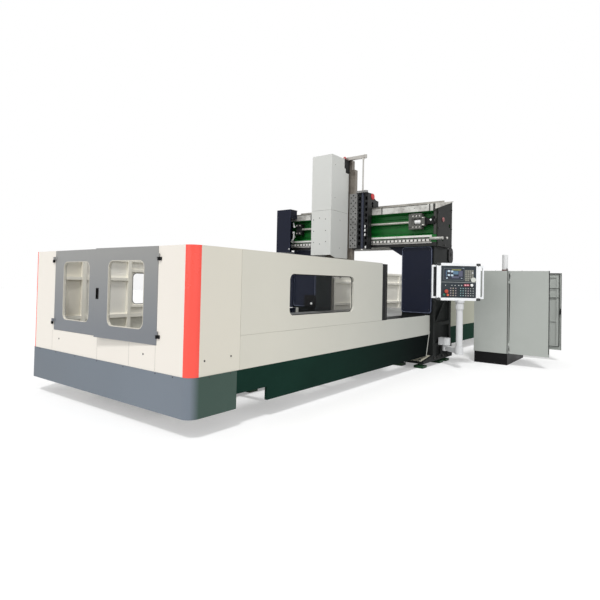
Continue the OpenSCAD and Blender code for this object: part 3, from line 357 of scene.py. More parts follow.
# Numbers of a casting after its wear colour: wear, stain, roughness, specular, bump
navy_coat = casting("navy cover coat", NAVY, (0.42, 0.46, 0.58), 0.7, 0.12, 0.45, 0.15, 0.15)
beam_cast = casting("green beam casting", MACHINE_GREEN, (0.25, 0.55, 0.32), 0.3, 0.30, 0.40)
column_cast = casting("column casting", CAST_DARK, (0.24, 0.245, 0.235), 0.4, 0.45, 0.55, 0.12)
saddle_cast = casting("saddle casting", SADDLE_DARK, (0.30, 0.31, 0.33), 0.5, 0.4, 0.45)
plate_cast = casting("beam end plate", PLATE_DARK, (0.24, 0.24, 0.22), 0.5, 0.35, 0.55, 0.12)
cylinder_coat = casting("cylinder enamel", (0.20, 0.215, 0.27), (0.5, 0.52, 0.56), 0.5, 0.2,
                        0.35)
bed_cast = casting("bed casting", (0.15, 0.165, 0.165), (0.36, 0.36, 0.34), 0.3, 0.4, 0.5)
pad_cast = casting("pad green", (0.06, 0.24, 0.12), (0.30, 0.32, 0.30), 0.4, 0.5, 0.5)
# Numbers of a ground metal after its stain colour: stain, roughness, metallic
steel = ground("ground steel", GROUND_STEEL, (0.42, 0.38, 0.34), 0.35, 0.36)
rail_steel = ground("beam way steel", (0.80, 0.80, 0.78), (0.34, 0.30, 0.27), 0.62, 0.42, 0.35)
tray_steel = ground("tray sheet", (0.66, 0.65, 0.62), (0.26, 0.24, 0.21), 0.7, 0.45, 0.35)
gib_steel = ground("gib steel", (0.56, 0.56, 0.555), (0.36, 0.35, 0.34), 0.5, 0.45, 0.3)
screw_steel = ground("ball screw steel", (0.76, 0.75, 0.72), (0.45, 0.42, 0.38), 0.3, 0.32, 0.5)
table_steel = ground("table steel", (0.56, 0.565, 0.56), (0.34, 0.33, 0.31), 0.4, 0.42, 0.4)
ram_bar = ground("ram steel", RAM_STEEL, (0.28, 0.22, 0.19), 0.7, 0.38, 0.5)
glass_sheet = clear_sheet("clear sheet", (0.22, 0.25, 0.27), 0.020)

# Finishes of the fitted pieces
# Dark strip: painted shade inside the side windows, and a dark strip on the cabinet's near door
dark_strip = enamel("dark strip", (0.075, 0.078, 0.080), 0.2, 8.0, 0.2, 0.2, 0.62, 0.15)
screw_black = enamel("blackened screw", (0.16, 0.16, 0.155), 0.3, 30.0, 0.1, 0.2, 0.42)
bright = ground("bright turned steel", (0.90, 0.89, 0.87), (0.6, 0.58, 0.55), 0.2, 0.3, 0.3)
white_plastic = enamel("white plastic", (0.93, 0.935, 0.93), 0.06, 20.0, 0.05, 0.1, 0.35)
red_cap = enamel("red cap", (0.80, 0.16, 0.17), 0.2, 12.0, 0.1, 0.2, 0.36)
pink_ring = enamel("faded red gland", (0.62, 0.40, 0.40), 0.3, 14.0, 0.1, 0.2, 0.45)
pale_edge_line = enamel("pale edge line", (0.47, 0.50, 0.58), 0.6, 9.0, 0.1, 0.2, 0.5)
way_light = ground("scraped way", (0.88, 0.875, 0.86), (0.55, 0.52, 0.50), 0.35, 0.4, 0.15)
way_dark = enamel("oily slot", (0.20, 0.195, 0.185), 0.4, 14.0, 0.1, 0.2, 0.4)
dust_sheet = enamel("dusty sheet", (0.70, 0.69, 0.62), 0.3, 6.0, 0.2, 0.1, 0.6)
bore_black = enamel("shaded bore", (0.012, 0.012, 0.012), 0.1, 9.0, 0.0, 0.1, 0.9, 0.0)
pale_lip_highlight = enamel("pale window lip, painted highlight", (0.80, 0.785, 0.735), 0.2, 6.0, 0.1, 0.1, 0.5)
seam_grey = enamel("seam shadow", (0.74, 0.725, 0.69), 0.2, 6.0, 0.1, 0.1, 0.6)
dark_line_grey = enamel("dark line grey", (0.140, 0.150, 0.145), 0.2, 8.0, 0.1, 0.1, 0.6, 0.15)

# Second colours: the axis, where the change starts and ends, and the colour past it
tone_past(beam_cast, "Z", 2.480, 2.462, (0.165, 0.155, 0.160))
tone_past(housing_coat, "X", -1.40, -1.41, (0.15, 0.155, 0.155))
tone_past(tray_steel, "X", 1.8535, 1.8540, (0.83, 0.82, 0.79))
tone_past(lamp_coat, "Z", 1.9675, 1.9665, (0.36, 0.10, 0.09))
tone_past(drive_coat, "Z", 4.3055, 4.3065, (0.80, 0.16, 0.17))
# Front skirt darker towards the left and lighter towards the corner: painted light and shade
tone_past(skirt_coat, "X", 1.2, -1.9, (0.385, 0.420, 0.455))
# Side returns of the skirt dark green: painted shade with a painted green reflection
tone_past(skirt_coat, "Y", -6.570, -6.480, (0.225, 0.315, 0.280))
# Side returns of the front panels darker: painted shade
tone_past(cream_coat, "Y", -6.570, -6.520, (0.885, 0.868, 0.815))
tone_past(door_coat, "Z", 1.90, 1.00, (0.470, 0.485, 0.505))
tone_past(green_base, "Y", -5.2, -1.2, (0.030, 0.055, 0.053))
tone_past(green_base, "Y", 0.4, 1.2, (0.060, 0.200, 0.150))
tone_past(column_cast, "X", -1.130, -1.105, (0.250, 0.265, 0.270))
tone_past(column_cast, "X", 1.0, 1.09, CAST_DARK)
# Free edges of the cabinet doors darker
tone_past(cabinet_door_coat, "X", 3.6595, 3.6600, (0.10, 0.105, 0.11))
# Outer faces of the rear and left walls darker: painted shade
tone_past(rear_wall_painted_light_coat, "X", 1.335, 1.355, (0.700, 0.705, 0.635))
tone_past(rear_wall_painted_light_coat, "X", -1.335, -1.355, SHADED_SIDE_CREAM)
tone_past(left_wall_painted_light_coat, "X", -1.690, -1.700, SHADED_SIDE_CREAM)
# Side panels darker towards the rear: painted shade
tone_past(shaded_side_coat, "Y", -5.4, -1.6, (0.730, 0.735, 0.708))


FINISHES = {
    cream_coat: ["front_left_panel", "front_right_panel", "front_sill"],
    inner_coat: ["inner_frames"],
    left_wall_painted_light_coat: ["left_upper_panel"],
    rear_wall_painted_light_coat: ["rear_panels"],
    shaded_side_coat: ["lower_panels", "right_upper_panel", "rear_end"],
    door_coat: ["left_door", "right_door"],
    skirt_coat: ["front_skirt"],
    coral_coat: ["corner_strips"],
    green_base: ["side_bases", "rear_bases"],
    navy_coat: ["column_covers", "left_cable_cover", "beam_gussets"],
    cabinet_coat: ["cabinet"],
    cabinet_door_coat: ["cabinet_near_door", "cabinet_far_door"],
    cover_coat: ["ram_cover"],
    light_coat: ["pendant_pivot", "pendant_arm", "pendant_pole"],
    black_coat: ["cross_motor", "door_hinges", "door_handle", "end_posts", "cabinet_plinth"],
    drive_coat: ["ram_drive"],
    housing_coat: ["screw_housings", "cabinet_fittings"],
    panel_coat: ["pendant_panel"],
    lamp_coat: ["cabinet_lamp"],
    frame_coat: ["pendant_box", "pendant_handles"],
    beam_cast: ["beam"],
    column_cast: ["left_column", "right_column"],
    saddle_cast: ["saddle"],
    cylinder_coat: ["balance_cylinders"],
    plate_cast: ["beam_end_plates"],
    bed_cast: ["bed"],
    pad_cast: ["levelling_pads"],
    rail_steel: ["beam_rails"],
    tray_steel: ["top_tray"],
    gib_steel: ["gib_plates"],
    screw_steel: ["cross_screw"],
    table_steel: ["table"],
    steel: ["balance_rods", "spindle"],
    ram_bar: ["ram"],
    glass_sheet: ["left_door_pane", "right_door_pane", "side_panes"],
}


def dress_nodes():
    """Gives every CAD node its finish."""
    for material, names in FINISHES.items():
        for name in names:
            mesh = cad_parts[name].data
            mesh.materials.clear()
            mesh.materials.append(material)


# Faces that a piece is laid on: rows are its across, up and outward directions
FRONT = np.array(((1, 0, 0), (0, 0, 1), (0, -1, 0)), float)
RIGHT = np.array(((0, 1, 0), (0, 0, 1), (1, 0, 0)), float)
REAR = np.array(((-1, 0, 0), (0, 0, 1), (0, 1, 0)), float)
LEFT = np.array(((0, -1, 0), (0, 0, 1), (-1, 0, 0)), float)
UP = np.array(((1, 0, 0), (0, 1, 0), (0, 0, 1)), float)
DOWN = np.array(((1, 0, 0), (0, -1, 0), (0, 0, -1)), float)
SIDES = ((1, RIGHT), (-1, LEFT))


def lay(flat, place, face):
    """Points given as across, up and out become place + flat times the face's rows."""
    return np.asarray(place, float) + flat @ face


def outline(width, height, corner, steps):
    """Rounded rectangle: a quarter circle about each of the four corner centres."""
    turn = np.linspace(0, np.pi / 2, steps + 1)
    angle = np.concatenate([turn + quarter * np.pi / 2 for quarter in range(4)])
    signs = np.repeat(((1, 1), (-1, 1), (-1, -1), (1, -1)), steps + 1, axis=0)
    reach = np.array((width / 2 - corner, height / 2 - corner))
    return signs * reach + corner * np.stack((np.cos(angle), np.sin(angle)), -1)


def level(flat, out):
    """Flat outline lifted to one height."""
    return np.concatenate((flat, np.full((len(flat), 1), float(out))), 1)


def slab(place, face, width, height, depth, corner, edge=0.001, steps=3):
    """Rounded plate: its outline carried outward, drawn in by the edge at both ends and
    closed to a point at the middle of each end."""
    corner = max(corner, edge + 0.0002)
    whole = outline(width, height, corner, steps)
    small = outline(width - 2 * edge, height - 2 * edge, corner - edge, steps)
    rows = [level(whole * 0, 0), level(small, 0), level(whole, edge),
            level(whole, depth - edge), level(small, depth), level(whole * 0, depth)]
    return lay(np.array(rows), place, face), False


def ring(place, face, width, height, corner, section, steps=8):
    """Closed section of (outward offset, height) pairs carried round a rounded rectangle."""
    rows = [level(outline(width + 2 * grow, height + 2 * grow, corner + grow, steps), out)
            for grow, out in section]
    return lay(np.array(rows), place, face), True


def revolve(place, face, profile, sides=20):
    """Profile of (radius, height) pairs turned about the outward axis."""
    turn = np.linspace(0, 2 * np.pi, sides, endpoint=False)
    circle = np.stack((np.cos(turn), np.sin(turn)), -1)
    rows = [level(circle * radius, out) for radius, out in profile]
    return lay(np.array(rows), place, face), False


def tube(points, radius, sides):
    """Circle carried along a path: across it lie the cross products of the path's
    direction with a fixed axis, and both ends close to a point."""
    points = np.asarray(points, float)
    along = np.gradient(points, axis=0)
    along /= np.linalg.norm(along, axis=1)[:, None]
    axis = np.eye(3)[np.argmin(np.abs(along).sum(0))]
    across = np.cross(along, axis)
    across /= np.linalg.norm(across, axis=1)[:, None]
    up = np.cross(across, along)
    turn = np.linspace(0, 2 * np.pi, sides, endpoint=False)
    rows = points[:, None] + radius * (np.cos(turn)[:, None] * across[:, None]
                                       + np.sin(turn)[:, None] * up[:, None])
    ends = [np.repeat(points[:1], sides, 0)[None], np.repeat(points[-1:], sides, 0)[None]]
    return np.concatenate((ends[0], rows, ends[1])), False


def curve(corners, count):
    """Smooth path through corner points: each is blended with its neighbours by the
    weights of a quadratic B-spline."""
    corners = np.asarray(corners, float)
    padded = np.concatenate((2 * corners[:1] - corners[1:2], corners,
                             2 * corners[-1:] - corners[-2:-1]))
    t = np.linspace(0.5, len(corners) - 0.5, count)
    i = np.clip(t.astype(int), 0, len(corners) - 1)
    u = (t - i)[:, None]
    return (0.5 * (1 - u) ** 2 * padded[i] + (0.5 + u - u ** 2) * padded[i + 1]
            + 0.5 * u ** 2 * padded[i + 2])


def copies(shape, offsets):
    """The same grid at several offsets."""
    grid, closed = shape
    return [(grid + np.asarray(offset, float), closed) for offset in offsets]


def faces_of(rows, columns, closed, first):
    """Quads between neighbouring rows and columns; columns always close on themselves."""
    r, c = np.meshgrid(np.arange(rows if closed else rows - 1), np.arange(columns),
                       indexing="ij")
    after, beside = (r + 1) % rows, (c + 1) % columns
    quads = np.stack((r * columns + c, r * columns + beside, after * columns + beside,
                      after * columns + c), -1)
    return quads.reshape(-1, 4) + first


def piece(name, grids, material, body="base"):
    """Joins grids in one mesh with its doubles merged and its faces turned outward, gives it its
    material and makes it ride on a body."""
    points, faces, first = [], [], 0
    for grid, closed in grids:
        rows, columns = grid.shape[:2]
        points.append(grid.reshape(-1, 3))
        faces.append(faces_of(rows, columns, closed, first))
        first += rows * columns
    mesh = bpy.data.meshes.new(name)
    mesh.from_pydata(np.concatenate(points), [], np.concatenate(faces))
    work = bmesh.new()
    work.from_mesh(mesh)
    bmesh.ops.remove_doubles(work, verts=work.verts, dist=1e-6)
    bmesh.ops.dissolve_degenerate(work, edges=work.edges, dist=1e-7)
    bmesh.ops.recalc_face_normals(work, faces=work.faces)
    work.to_mesh(mesh)
    work.free()
    mesh.polygons.foreach_set("use_smooth", np.ones(len(mesh.polygons), bool))
    mesh.set_sharp_from_angle(angle=math.radians(SHARP_FROM))
    mesh.materials.append(material)
    made = bpy.data.objects.new(name, mesh)
    bpy.context.scene.collection.objects.link(made)
    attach(made, body)


def turned(place, pivot, degrees):
    """A place turned about an upright axis through the pivot, with its front face."""
    angle = math.radians(degrees)
    turn = np.array(((math.cos(angle), math.sin(angle), 0),
                     (-math.sin(angle), math.cos(angle), 0), (0, 0, 1)))
    pivot = np.array((*pivot, 0.0))
    return (np.asarray(place, float) - pivot) @ turn + pivot, FRONT @ turn


def boss(radius, shoulder, top, height):
    """Profile of a round boss: up its side to the shoulder, then in to the top's radius."""
    return [(0, 0), (radius, 0), (radius, shoulder), (top, height), (0, height)]


def screw_head(place, face, radius, sides=14):
    """Cap screw head with a sunk socket."""
    height = radius * 0.9
    return revolve(place, face, [(0, 0), (radius, 0), (radius, height * 0.85),
                                 (radius * 0.9, height), (radius * 0.5, height),
                                 (radius * 0.46, height * 0.4), (0, height * 0.4)], sides)


def button_head(place, face, radius):
    """Low domed head with a small socket."""
    return revolve(place, face, [(0, 0), (radius, 0), (radius * 0.8, radius * 0.3),
                                 (radius * 0.4, radius * 0.42), (radius * 0.34, radius * 0.15),
                                 (0, radius * 0.15)], 12)


def hex_nut(place, face, radius):
    """Six-sided nut with a stud end standing out of it."""
    nut = boss(radius, radius * 0.8, radius * 0.9, radius * 0.9)
    stud = boss(radius * 0.5, radius * 1.4, radius * 0.42, radius * 1.5)
    return [revolve(place, face, nut, 6), revolve(place, face, stud, 12)]


def eye(place, radius, wire):
    """Ring on edge: a small circle carried round a large one that stands across x."""
    turn = np.linspace(0, 2 * np.pi, 25)[:-1]
    around = np.linspace(0, 2 * np.pi, 9)[:-1]
    out = np.stack((0 * turn, np.cos(turn), np.sin(turn)), -1)
    loop = np.asarray(place, float) + radius * out
    return loop[:, None] + wire * (np.cos(around)[None, :, None] * out[:, None]
                                   + np.sin(around)[None, :, None] * np.eye(3)[0]), True


def grid_places(*values):
    """Every mix of the given coordinates."""
    return np.stack([a.ravel() for a in np.meshgrid(*values, indexing="ij")], -1)


def middle(name):
    """Centre of a CAD node's box."""
    low, high = np.array(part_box(name))
    return (low + high) / 2


def seeing_rays(tree):
    """1 for a ray of the camera, a mirror or clear glass, 0 for a ray that lights."""
    path = tree.nodes.new("ShaderNodeLightPath")
    rays = maths(tree, "MAXIMUM", path.outputs["Is Camera Ray"], path.outputs["Is Glossy Ray"])
    return maths(tree, "MAXIMUM", rays, path.outputs["Is Transmission Ray"])


def stage_material(name, colour, shown):
    """Matte stage: the camera and mirror rays see it bright, light sees its colour."""
    material, tree, shader = shader_material(
        name, {"Base Color": rgba(colour), "Roughness": 0.9, "Specular IOR Level": 0.1,
               "Emission Color": (1, 1, 1, 1)})
    tree.links.new(maths(tree, "MULTIPLY", seeing_rays(tree), shown),
                   shader.inputs["Emission Strength"])
    return material


def build_stage():
    """Pale floor far past the machine; the world behind it is as pale."""
    size = 60.0
    mesh = bpy.data.meshes.new("floor")
    mesh.from_pydata([(-size, -size, 0), (size, -size, 0), (size, size, 0), (-size, size, 0)],
                     [], [(0, 1, 2, 3)])
    floor = bpy.data.objects.new("floor", mesh)
    bpy.context.scene.collection.objects.link(floor)
    mesh.materials.append(stage_material("pale floor", (0.86, 0.86, 0.86), FLOOR_SHOWN))
    world = bpy.data.worlds.new("pale surround")
    bpy.context.scene.world = world
    world.use_nodes = True
    tree = world.node_tree
    background = tree.nodes["Background"]
    background.inputs["Color"].default_value = (1, 1, 1, 1)
    tree.links.new(remap(tree, seeing_rays(tree), 0, 1, AMBIENT, 1.0),
                   background.inputs["Strength"])


def add_sun(name, direction, energy, spread):
    """Far lamp that shines along the direction; its spread in degrees softens shadows."""
    lamp = bpy.data.lights.new(name, "SUN")
    lamp.energy = energy
    lamp.angle = math.radians(spread)
    placed = bpy.data.objects.new(name, lamp)
    bpy.context.scene.collection.objects.link(placed)
    placed.rotation_mode = "QUATERNION"
    placed.rotation_quaternion = Vector(direction).to_track_quat("-Z", "Y")


def build_lights():
    """A high key from ahead of the machine and two weak broad fills."""
    add_sun("high key", (-0.26, 0.50, -0.87), 1.7, 8)
    add_sun("front fill", (0.10, 0.95, -0.35), 0.45, 50)
    add_sun("side fill", (-0.95, 0.25, -0.35), 0.34, 60)


def build_camera():
    """Camera from its fitted place, heading, pitch and roll."""
    heading, pitch, roll = map(math.radians, (CAMERA_HEADING, CAMERA_PITCH, CAMERA_ROLL))
    ahead = Vector((-math.sin(heading) * math.cos(pitch),
                    math.cos(heading) * math.cos(pitch), -math.sin(pitch)))
    right = ahead.cross(Vector((0, 0, 1))).normalized()
    up = right.cross(ahead)
    side = right * math.cos(roll) + up * math.sin(roll)
    top = up * math.cos(roll) - right * math.sin(roll)
    turn = Matrix((side, top, -ahead)).transposed()
    data = bpy.data.cameras.new("photograph view")
    data.sensor_width = 36.0
    data.lens = CAMERA_LENS
    data.shift_y = CAMERA_SHIFT
    data.clip_end = 200.0
    camera = bpy.data.objects.new("photograph view", data)
    bpy.context.scene.collection.objects.link(camera)
    camera.matrix_world = Matrix.Translation(CAMERA_PLACE) @ turn.to_4x4()
    bpy.context.scene.camera = camera


def fit_front():
    """Lips in the door windows, their pale colour a painted highlight along the window edges,
    seams of the sill, and button screws on the sill, the skirt and both side returns."""
    window = (0.639, 0.749, 0.0795)
    lip = [(-0.004, -0.030), (-0.004, 0.0008), (0.003, 0.0008), (0.003, 0.0002),
           (0.0, 0.0002), (0.0, -0.030)]
    left = middle("left_door_pane") + (0, -0.018, 0)
    # Pale colour of the lips: painted highlight along the window edges
    piece("left_door_gasket", [ring(left, FRONT, *window, lip)], pale_lip_highlight, "left_door")
    place, face = turned((0.610, left[1], left[2]), RIGHT_DOOR_HINGE, RIGHT_DOOR_AJAR)
    piece("right_door_gasket", [ring(place, face, *window, lip)], pale_lip_highlight, "right_door")
    sill_y, skirt_y, skirt_z = -6.600, -6.606, 0.612
    seams = [slab((x, sill_y, 0.764), FRONT, 0.005, 0.264, 0.0006, 0.001, 0.0002)
             for x in (-1.124, 0.0, 0.662, 1.143)]
    piece("sill_seams", seams, seam_grey)
    heads = [button_head((x, sill_y, z), FRONT, 0.011)
             for x, z in ((-0.937, 0.794), (0.930, 0.790))]
    heads += [button_head((x, skirt_y, skirt_z), FRONT, 0.008)
              for x in (-1.45, -1.0, -0.5, 0.011, 0.568, 1.159, 1.45)]
    for side, face in SIDES:
        heads += [button_head((side * 1.709, y, z), face, 0.011)
                  for y, z in ((-6.416, 0.783), (-6.045, 0.793))]
        heads += [button_head((side * 1.715, y, skirt_z), face, 0.008)
                  for y in (-6.35, -6.05)]
    piece("panel_screws", heads, screw_black)


def fit_sides():
    """Thin dark strips inside the side windows as painted shade, ribs on the end posts and
    sheets on the feet.
    """
    strip = [(-0.010, -0.040), (-0.010, -0.034), (0.0, -0.034), (0.0, -0.040)]
    # Dark strips round the inside of the side windows stand for the shade in the openings:
    # painted shade
    piece("side_window_shade_strips",
          [ring((side * 1.709, -4.275, 1.445), face, 1.549, 0.525, 0.0795, strip)
           for side, face in SIDES], dark_strip)
    rib_z, rib_height = 1.472, 0.900
    post_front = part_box("end_posts")[0][1]
    ribs = [slab((side * 1.7030, -2.452, rib_z), face, 0.020, rib_height, 0.004, 0.003)
            for side, face in SIDES]
    ribs += [slab((x, post_front, rib_z), FRONT, 0.018, rib_height, 0.004, 0.003)
             for x in (1.63, -1.63)]
    piece("end_post_ribs", ribs, screw_black)
    slope = math.atan2(0.066, 0.46)
    face = np.array(((1, 0, 0), (0, math.cos(slope), math.sin(slope)),
                     (0, -math.sin(slope), math.cos(slope))))
    sheets = [slab((x, -0.770, 0.1715), face, 0.60, 0.44, 0.004, 0.004)
              for x in (1.44, -1.44)]
    piece("foot_sheets", sheets, dust_sheet)


def fit_columns():
    """Beads and screws of the column covers, the duct below the cable cover, splash sheets
    and a switch box, and the ears and nuts at the columns' backs and feet."""
    cover_y, cover_z = -0.5505, middle("column_covers")[2]
    # Pale line along the edges of the column covers
    bead = [(-0.004, 0.0), (-0.004, 0.003), (0.0, 0.004), (0.002, 0.002), (0.002, 0.0)]
    edges, heads = [], []
    for x in (1.425, -1.425):
        edges.append(ring((x, cover_y, cover_z), FRONT, 0.630, 1.330, 0.052, bead))
        heads += [button_head((x + dx, cover_y, cover_z + dz), FRONT, 0.010)
                  for dx, dz in grid_places((-0.27, 0.27), (-0.60, 0.0, 0.60))]
    piece("cover_edge_beads", edges, pale_edge_line)
    duct_top, duct_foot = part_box("left_cable_cover")[0][2], 1.003
    duct = slab((-1.887, -0.545, (duct_top + duct_foot) / 2), FRONT, 0.293,
                duct_top - duct_foot - 0.001, 0.060, 0.010, 0.003)
    piece("left_cable_drop", [duct], navy_coat)
    sheets = [slab((side * -1.6685, -0.840, 0.855), face, 0.560, 0.294, 0.004, 0.004)
              for side, face in SIDES]
    piece("splash_sheets", sheets, navy_coat)
    box = [slab((-1.235, cover_y, 1.179), FRONT, 0.310, 0.278, 0.045, 0.006, 0.002)]
    piece("left_switch_box", box, black_coat)
    piece("left_switch_knob", [revolve((-1.173, cover_y - 0.045, 1.119), FRONT,
                                       boss(0.026, 0.012, 0.020, 0.018))],
          white_plastic)
    ears, nuts = [], []
    eye_rim = [(0, -0.001), (0.040, -0.001), (0.040, 0.006), (0.022, 0.006), (0.020, 0.001),
               (0, 0.001)]
    for side, face in SIDES:
        x = side * 1.7805
        ears += [slab((x, 0.372, 2.255), face, 0.270, 0.340, 0.022, 0.105, 0.006, 8),
                 revolve((x + side * 0.022, 0.385, 2.27), face, eye_rim)]
        for y in (-0.46, -0.28, 0.0, 0.28):
            nuts += hex_nut((x, y, 0.155), face, 0.022)
    for side in (1, -1):
        for x in (1.19, 1.44, 1.69):
            nuts += hex_nut((side * x, -0.94, 0.1475), UP, 0.024)
    piece("column_ears", ears, black_coat)
    piece("column_nuts", nuts, screw_black)
    piece("cover_screws", heads, screw_black)


def fit_beam():
    """Scraped strips, oil slots and plugs of the lower way, dark caps, joints of the upper
    way, screws and sleeve of the bearing housings, ribs and plug of the motor, and the
    gland, boss and screws of the end plates."""
    front, way_front = -0.600, -0.640
    strips = [slab((-0.02, front, z), FRONT, 3.56, height, depth, 0.003)
              for z, height, depth in ((2.592, 0.040, 0.012), (2.462, 0.022, 0.014))]
    piece("beam_scraped_strips", strips, way_light)
    slots = copies(slab((0, front, 2.556), FRONT, 0.092, 0.022, 0.010, 0.008),
                   [(x, 0, 0) for x in np.arange(-1.72, 1.73, 0.120)])
    piece("beam_oil_slots", slots, way_dark)
    cover_z = 2.508
    cover = slab((-0.02, way_front, cover_z), FRONT, 3.50, 0.052, 0.0015, 0.002, 0.0005)
    piece("rail_cover_strip", [cover], way_dark)
    plugs = copies(slab((0, way_front, cover_z), FRONT, 0.056, 0.044, 0.004, 0.008),
                   [(x, 0, 0) for x in np.arange(-1.74, 1.70, 0.0857)])
    piece("rail_cover_plugs", plugs, way_light)
    caps = [slab((x, front + 0.002, 3.166), FRONT, 0.058, 0.136, 0.032, 0.003)
            for x in (1.821, -1.821)]
    caps += [slab((1.8215, front + 0.002, 2.86), FRONT, 0.056, 0.472, 0.008, 0.003),
             slab((-0.05, way_front, 3.2250), FRONT, 3.45, 0.011, 0.001, 0.001, 0.0004),
             slab((1.457, -0.538, SCREW_Z), FRONT, 0.148, 0.112, 0.004, 0.004)]
    piece("beam_dark_caps", caps, way_dark)
    joints = [slab((x, way_front, 3.163), FRONT, 0.026, 0.134, 0.0015, 0.0008, 0.0004)
              for x in (-1.20, 0.663, 1.72)]
    joints += [slab((x, front - 0.022, 3.2415), FRONT, 0.016, 0.010, 0.0015, 0.0008, 0.0004)
               for x in (0.663, 1.72)]
    piece("way_joints", joints, way_dark)

    housing_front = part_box("screw_housings")[0][1] + 0.0005
    heads = []
    for y, radius, xs, drops in ((-0.610, 0.016, (1.362, 1.432, 1.502), (-0.106, 0.121)),
                                 (-0.632, 0.014, (-1.62, -1.53), (-0.092, 0.092)),
                                 (housing_front, 0.011, (1.575, 1.600), (-0.070, 0.074))):
        heads += [screw_head((x, y, SCREW_Z + drop), FRONT, radius)
                  for x, drop in grid_places(xs, drops)]
    piece("housing_screws", heads, bright)
    sleeve = revolve((1.398, -0.580, SCREW_Z), RIGHT,
                     [(0.0362, 0), (0.046, 0), (0.047, 0.003), (0.047, 0.118),
                      (0.045, 0.122), (0.0362, 0.122), (0.0362, 0)], 32)
    piece("coupling_sleeve", [sleeve], white_plastic)

    motor_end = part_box("cross_motor")[1][0]
    ribs = copies(slab((1.735, -0.640, SCREW_Z), FRONT, 0.120, 0.004, 0.003, 0.001),
                  [(0, 0, rise) for rise in np.linspace(-0.045, 0.045, 7)])
    ribs.append(ring((motor_end - 0.030, -0.580, SCREW_Z), RIGHT, 0.112, 0.112, 0.0558,
                     [(0, 0), (0, 0.026), (0.005, 0.026), (0.005, 0)]))
    piece("motor_ribs", ribs, screw_black)
    piece("motor_plug", [revolve((1.746, -0.6405, 2.910), FRONT,
                                 boss(0.019, 0.010, 0.015, 0.014))],
          white_plastic)

    plate_x = 1.870
    gland = revolve((plate_x, -0.300, 2.945), RIGHT,
                    [(0, 0), (0.046, 0), (0.046, 0.012), (0.036, 0.020), (0.024, 0.020),
                     (0.022, 0.004), (0, 0.004)], 24)
    piece("end_plate_gland", [gland], pink_ring)
    piece("end_plate_boss", [revolve((plate_x, -0.092, 2.591), RIGHT,
                                     boss(0.024, 0.020, 0.018, 0.026))],
          bright)
    heads = [screw_head((side * plate_x, y, z), face, 0.016) for side, face in SIDES
             for y, z in ((-0.555, 2.45), (-0.555, 2.75), (-0.555, 3.06), (0.18, 2.45),
                          (0.18, 2.80), (0.18, 3.20), (-0.20, 2.43))]
    piece("end_plate_screws", heads, screw_black)
    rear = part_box("beam")[1][1]
    heads = [screw_head((x, rear, z), REAR, 0.018)
             for x, z in grid_places(np.arange(-1.7, 1.71, 0.485), (2.47, 3.14))]
    piece("beam_rear_screws", heads, screw_black)


def fit_saddle():
    """Red caps and bores on the saddle's arms, tags beside the cylinder, screws of the gib
    plates and the head plates, and rims under the balance cylinders."""
    cap = [(0, 0), (0.060, 0), (0.068, 0.010), (0.068, 0.128), (0.058, 0.141), (0, 0.141)]
    piece("saddle_red_caps",
          [revolve((RAM_X + side * 0.590, -0.626, 3.500), face, cap, 32)
           for side, face in SIDES], red_cap, "saddle")
    bore = [(0, 0), (0.032, 0), (0.032, 0.0012), (0.026, 0.0012), (0.025, 0.0004),
            (0, 0.0004)]
    piece("saddle_bore_rims",
          [revolve((RAM_X + side * 0.716, -0.624, z), face, bore, 24)
           for side, face in SIDES for z in (3.352, 3.294)], bore_black, "saddle")
    tags = [slab((0.366, -0.830, z), FRONT, 0.026, 0.052, 0.004, 0.004)
            for z in (2.84, 2.754, 2.658)]
    tags.append(slab((0.385, -0.830, 2.393), FRONT, 0.030, 0.050, 0.004, 0.004))
    piece("cylinder_tags", tags, white_plastic, "saddle")
    gib_edge, gib_width, gib_row, gib_pitch = 0.279, 0.188, 2.425, 0.116
    heads = [screw_head((RAM_X + side * (gib_edge + gib_width * share), -0.8435,
                         gib_row + row * gib_pitch + rise), FRONT, 0.0160, 10)
             for side in (1, -1) for row in range(10)
             for share, rise in ((0.22, 0), (0.51, 0.048), (0.80, 0))]
    piece("gib_screws", heads, screw_black, "saddle")
    heads = [screw_head((RAM_X + side * (BALANCE_X + dx), BALANCE_Y + dy, 3.604), UP, 0.011)
             for side in (1, -1) for dx, dy in ((-0.115, -0.022), (-0.115, 0.022),
                                                (0.062, -0.028), (0.062, 0.028))]
    heads += [screw_head((RAM_X + x, -0.74, 3.560), UP, 0.013) for x in (0.425, -0.425)]
    piece("saddle_top_screws", heads, bright, "saddle")
    rim = [(0, -0.030), (0.004, -0.030), (0.004, -0.006), (0, 0)]
    piece("cylinder_rims",
          [ring((RAM_X + x, BALANCE_Y, 2.321), DOWN, 0.047, 0.047, 0.0232, rim)
           for x in (BALANCE_X, -BALANCE_X)], bright, "saddle")


def fit_ram():
    """Screws of the ram's cover and front, and the nuts on the balance rods."""
    heads = [button_head((x, -1.535, z), FRONT, 0.0105)
             for x, z in ((-0.482, 2.944), (-0.330, 2.975), (-0.177, 2.944), (-0.478, 2.700),
                          (-0.171, 2.703), (-0.473, 2.463), (-0.316, 2.426),
                          (-0.165, 2.473))]
    heads += [button_head((RAM_X + side * 0.249, y, z), face, 0.009) for side, face in SIDES
              for y, z in ((-1.188, 2.359), (-1.188, 2.95), (-1.40, 3.40), (-1.40, 4.10))]
    piece("ram_cover_screws", heads, screw_black, "ram")
    rod_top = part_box("balance_rods")[1][2]
    nut = [(0.0165, 0), (0.030, 0), (0.030, 0.026), (0.0165, 0.026), (0.0165, 0)]
    piece("rod_nuts", [revolve((RAM_X + x, BALANCE_Y, rod_top - 0.0755), DOWN, nut, 6)
                       for x in (-BALANCE_X, BALANCE_X)], bright, "ram")
    piece("ram_front_screws",
          [screw_head((RAM_X + x, -1.020, z), FRONT, 0.014)
           for x, z in grid_places((-0.15, 0.15), (1.96, 2.08))], screw_black, "ram")


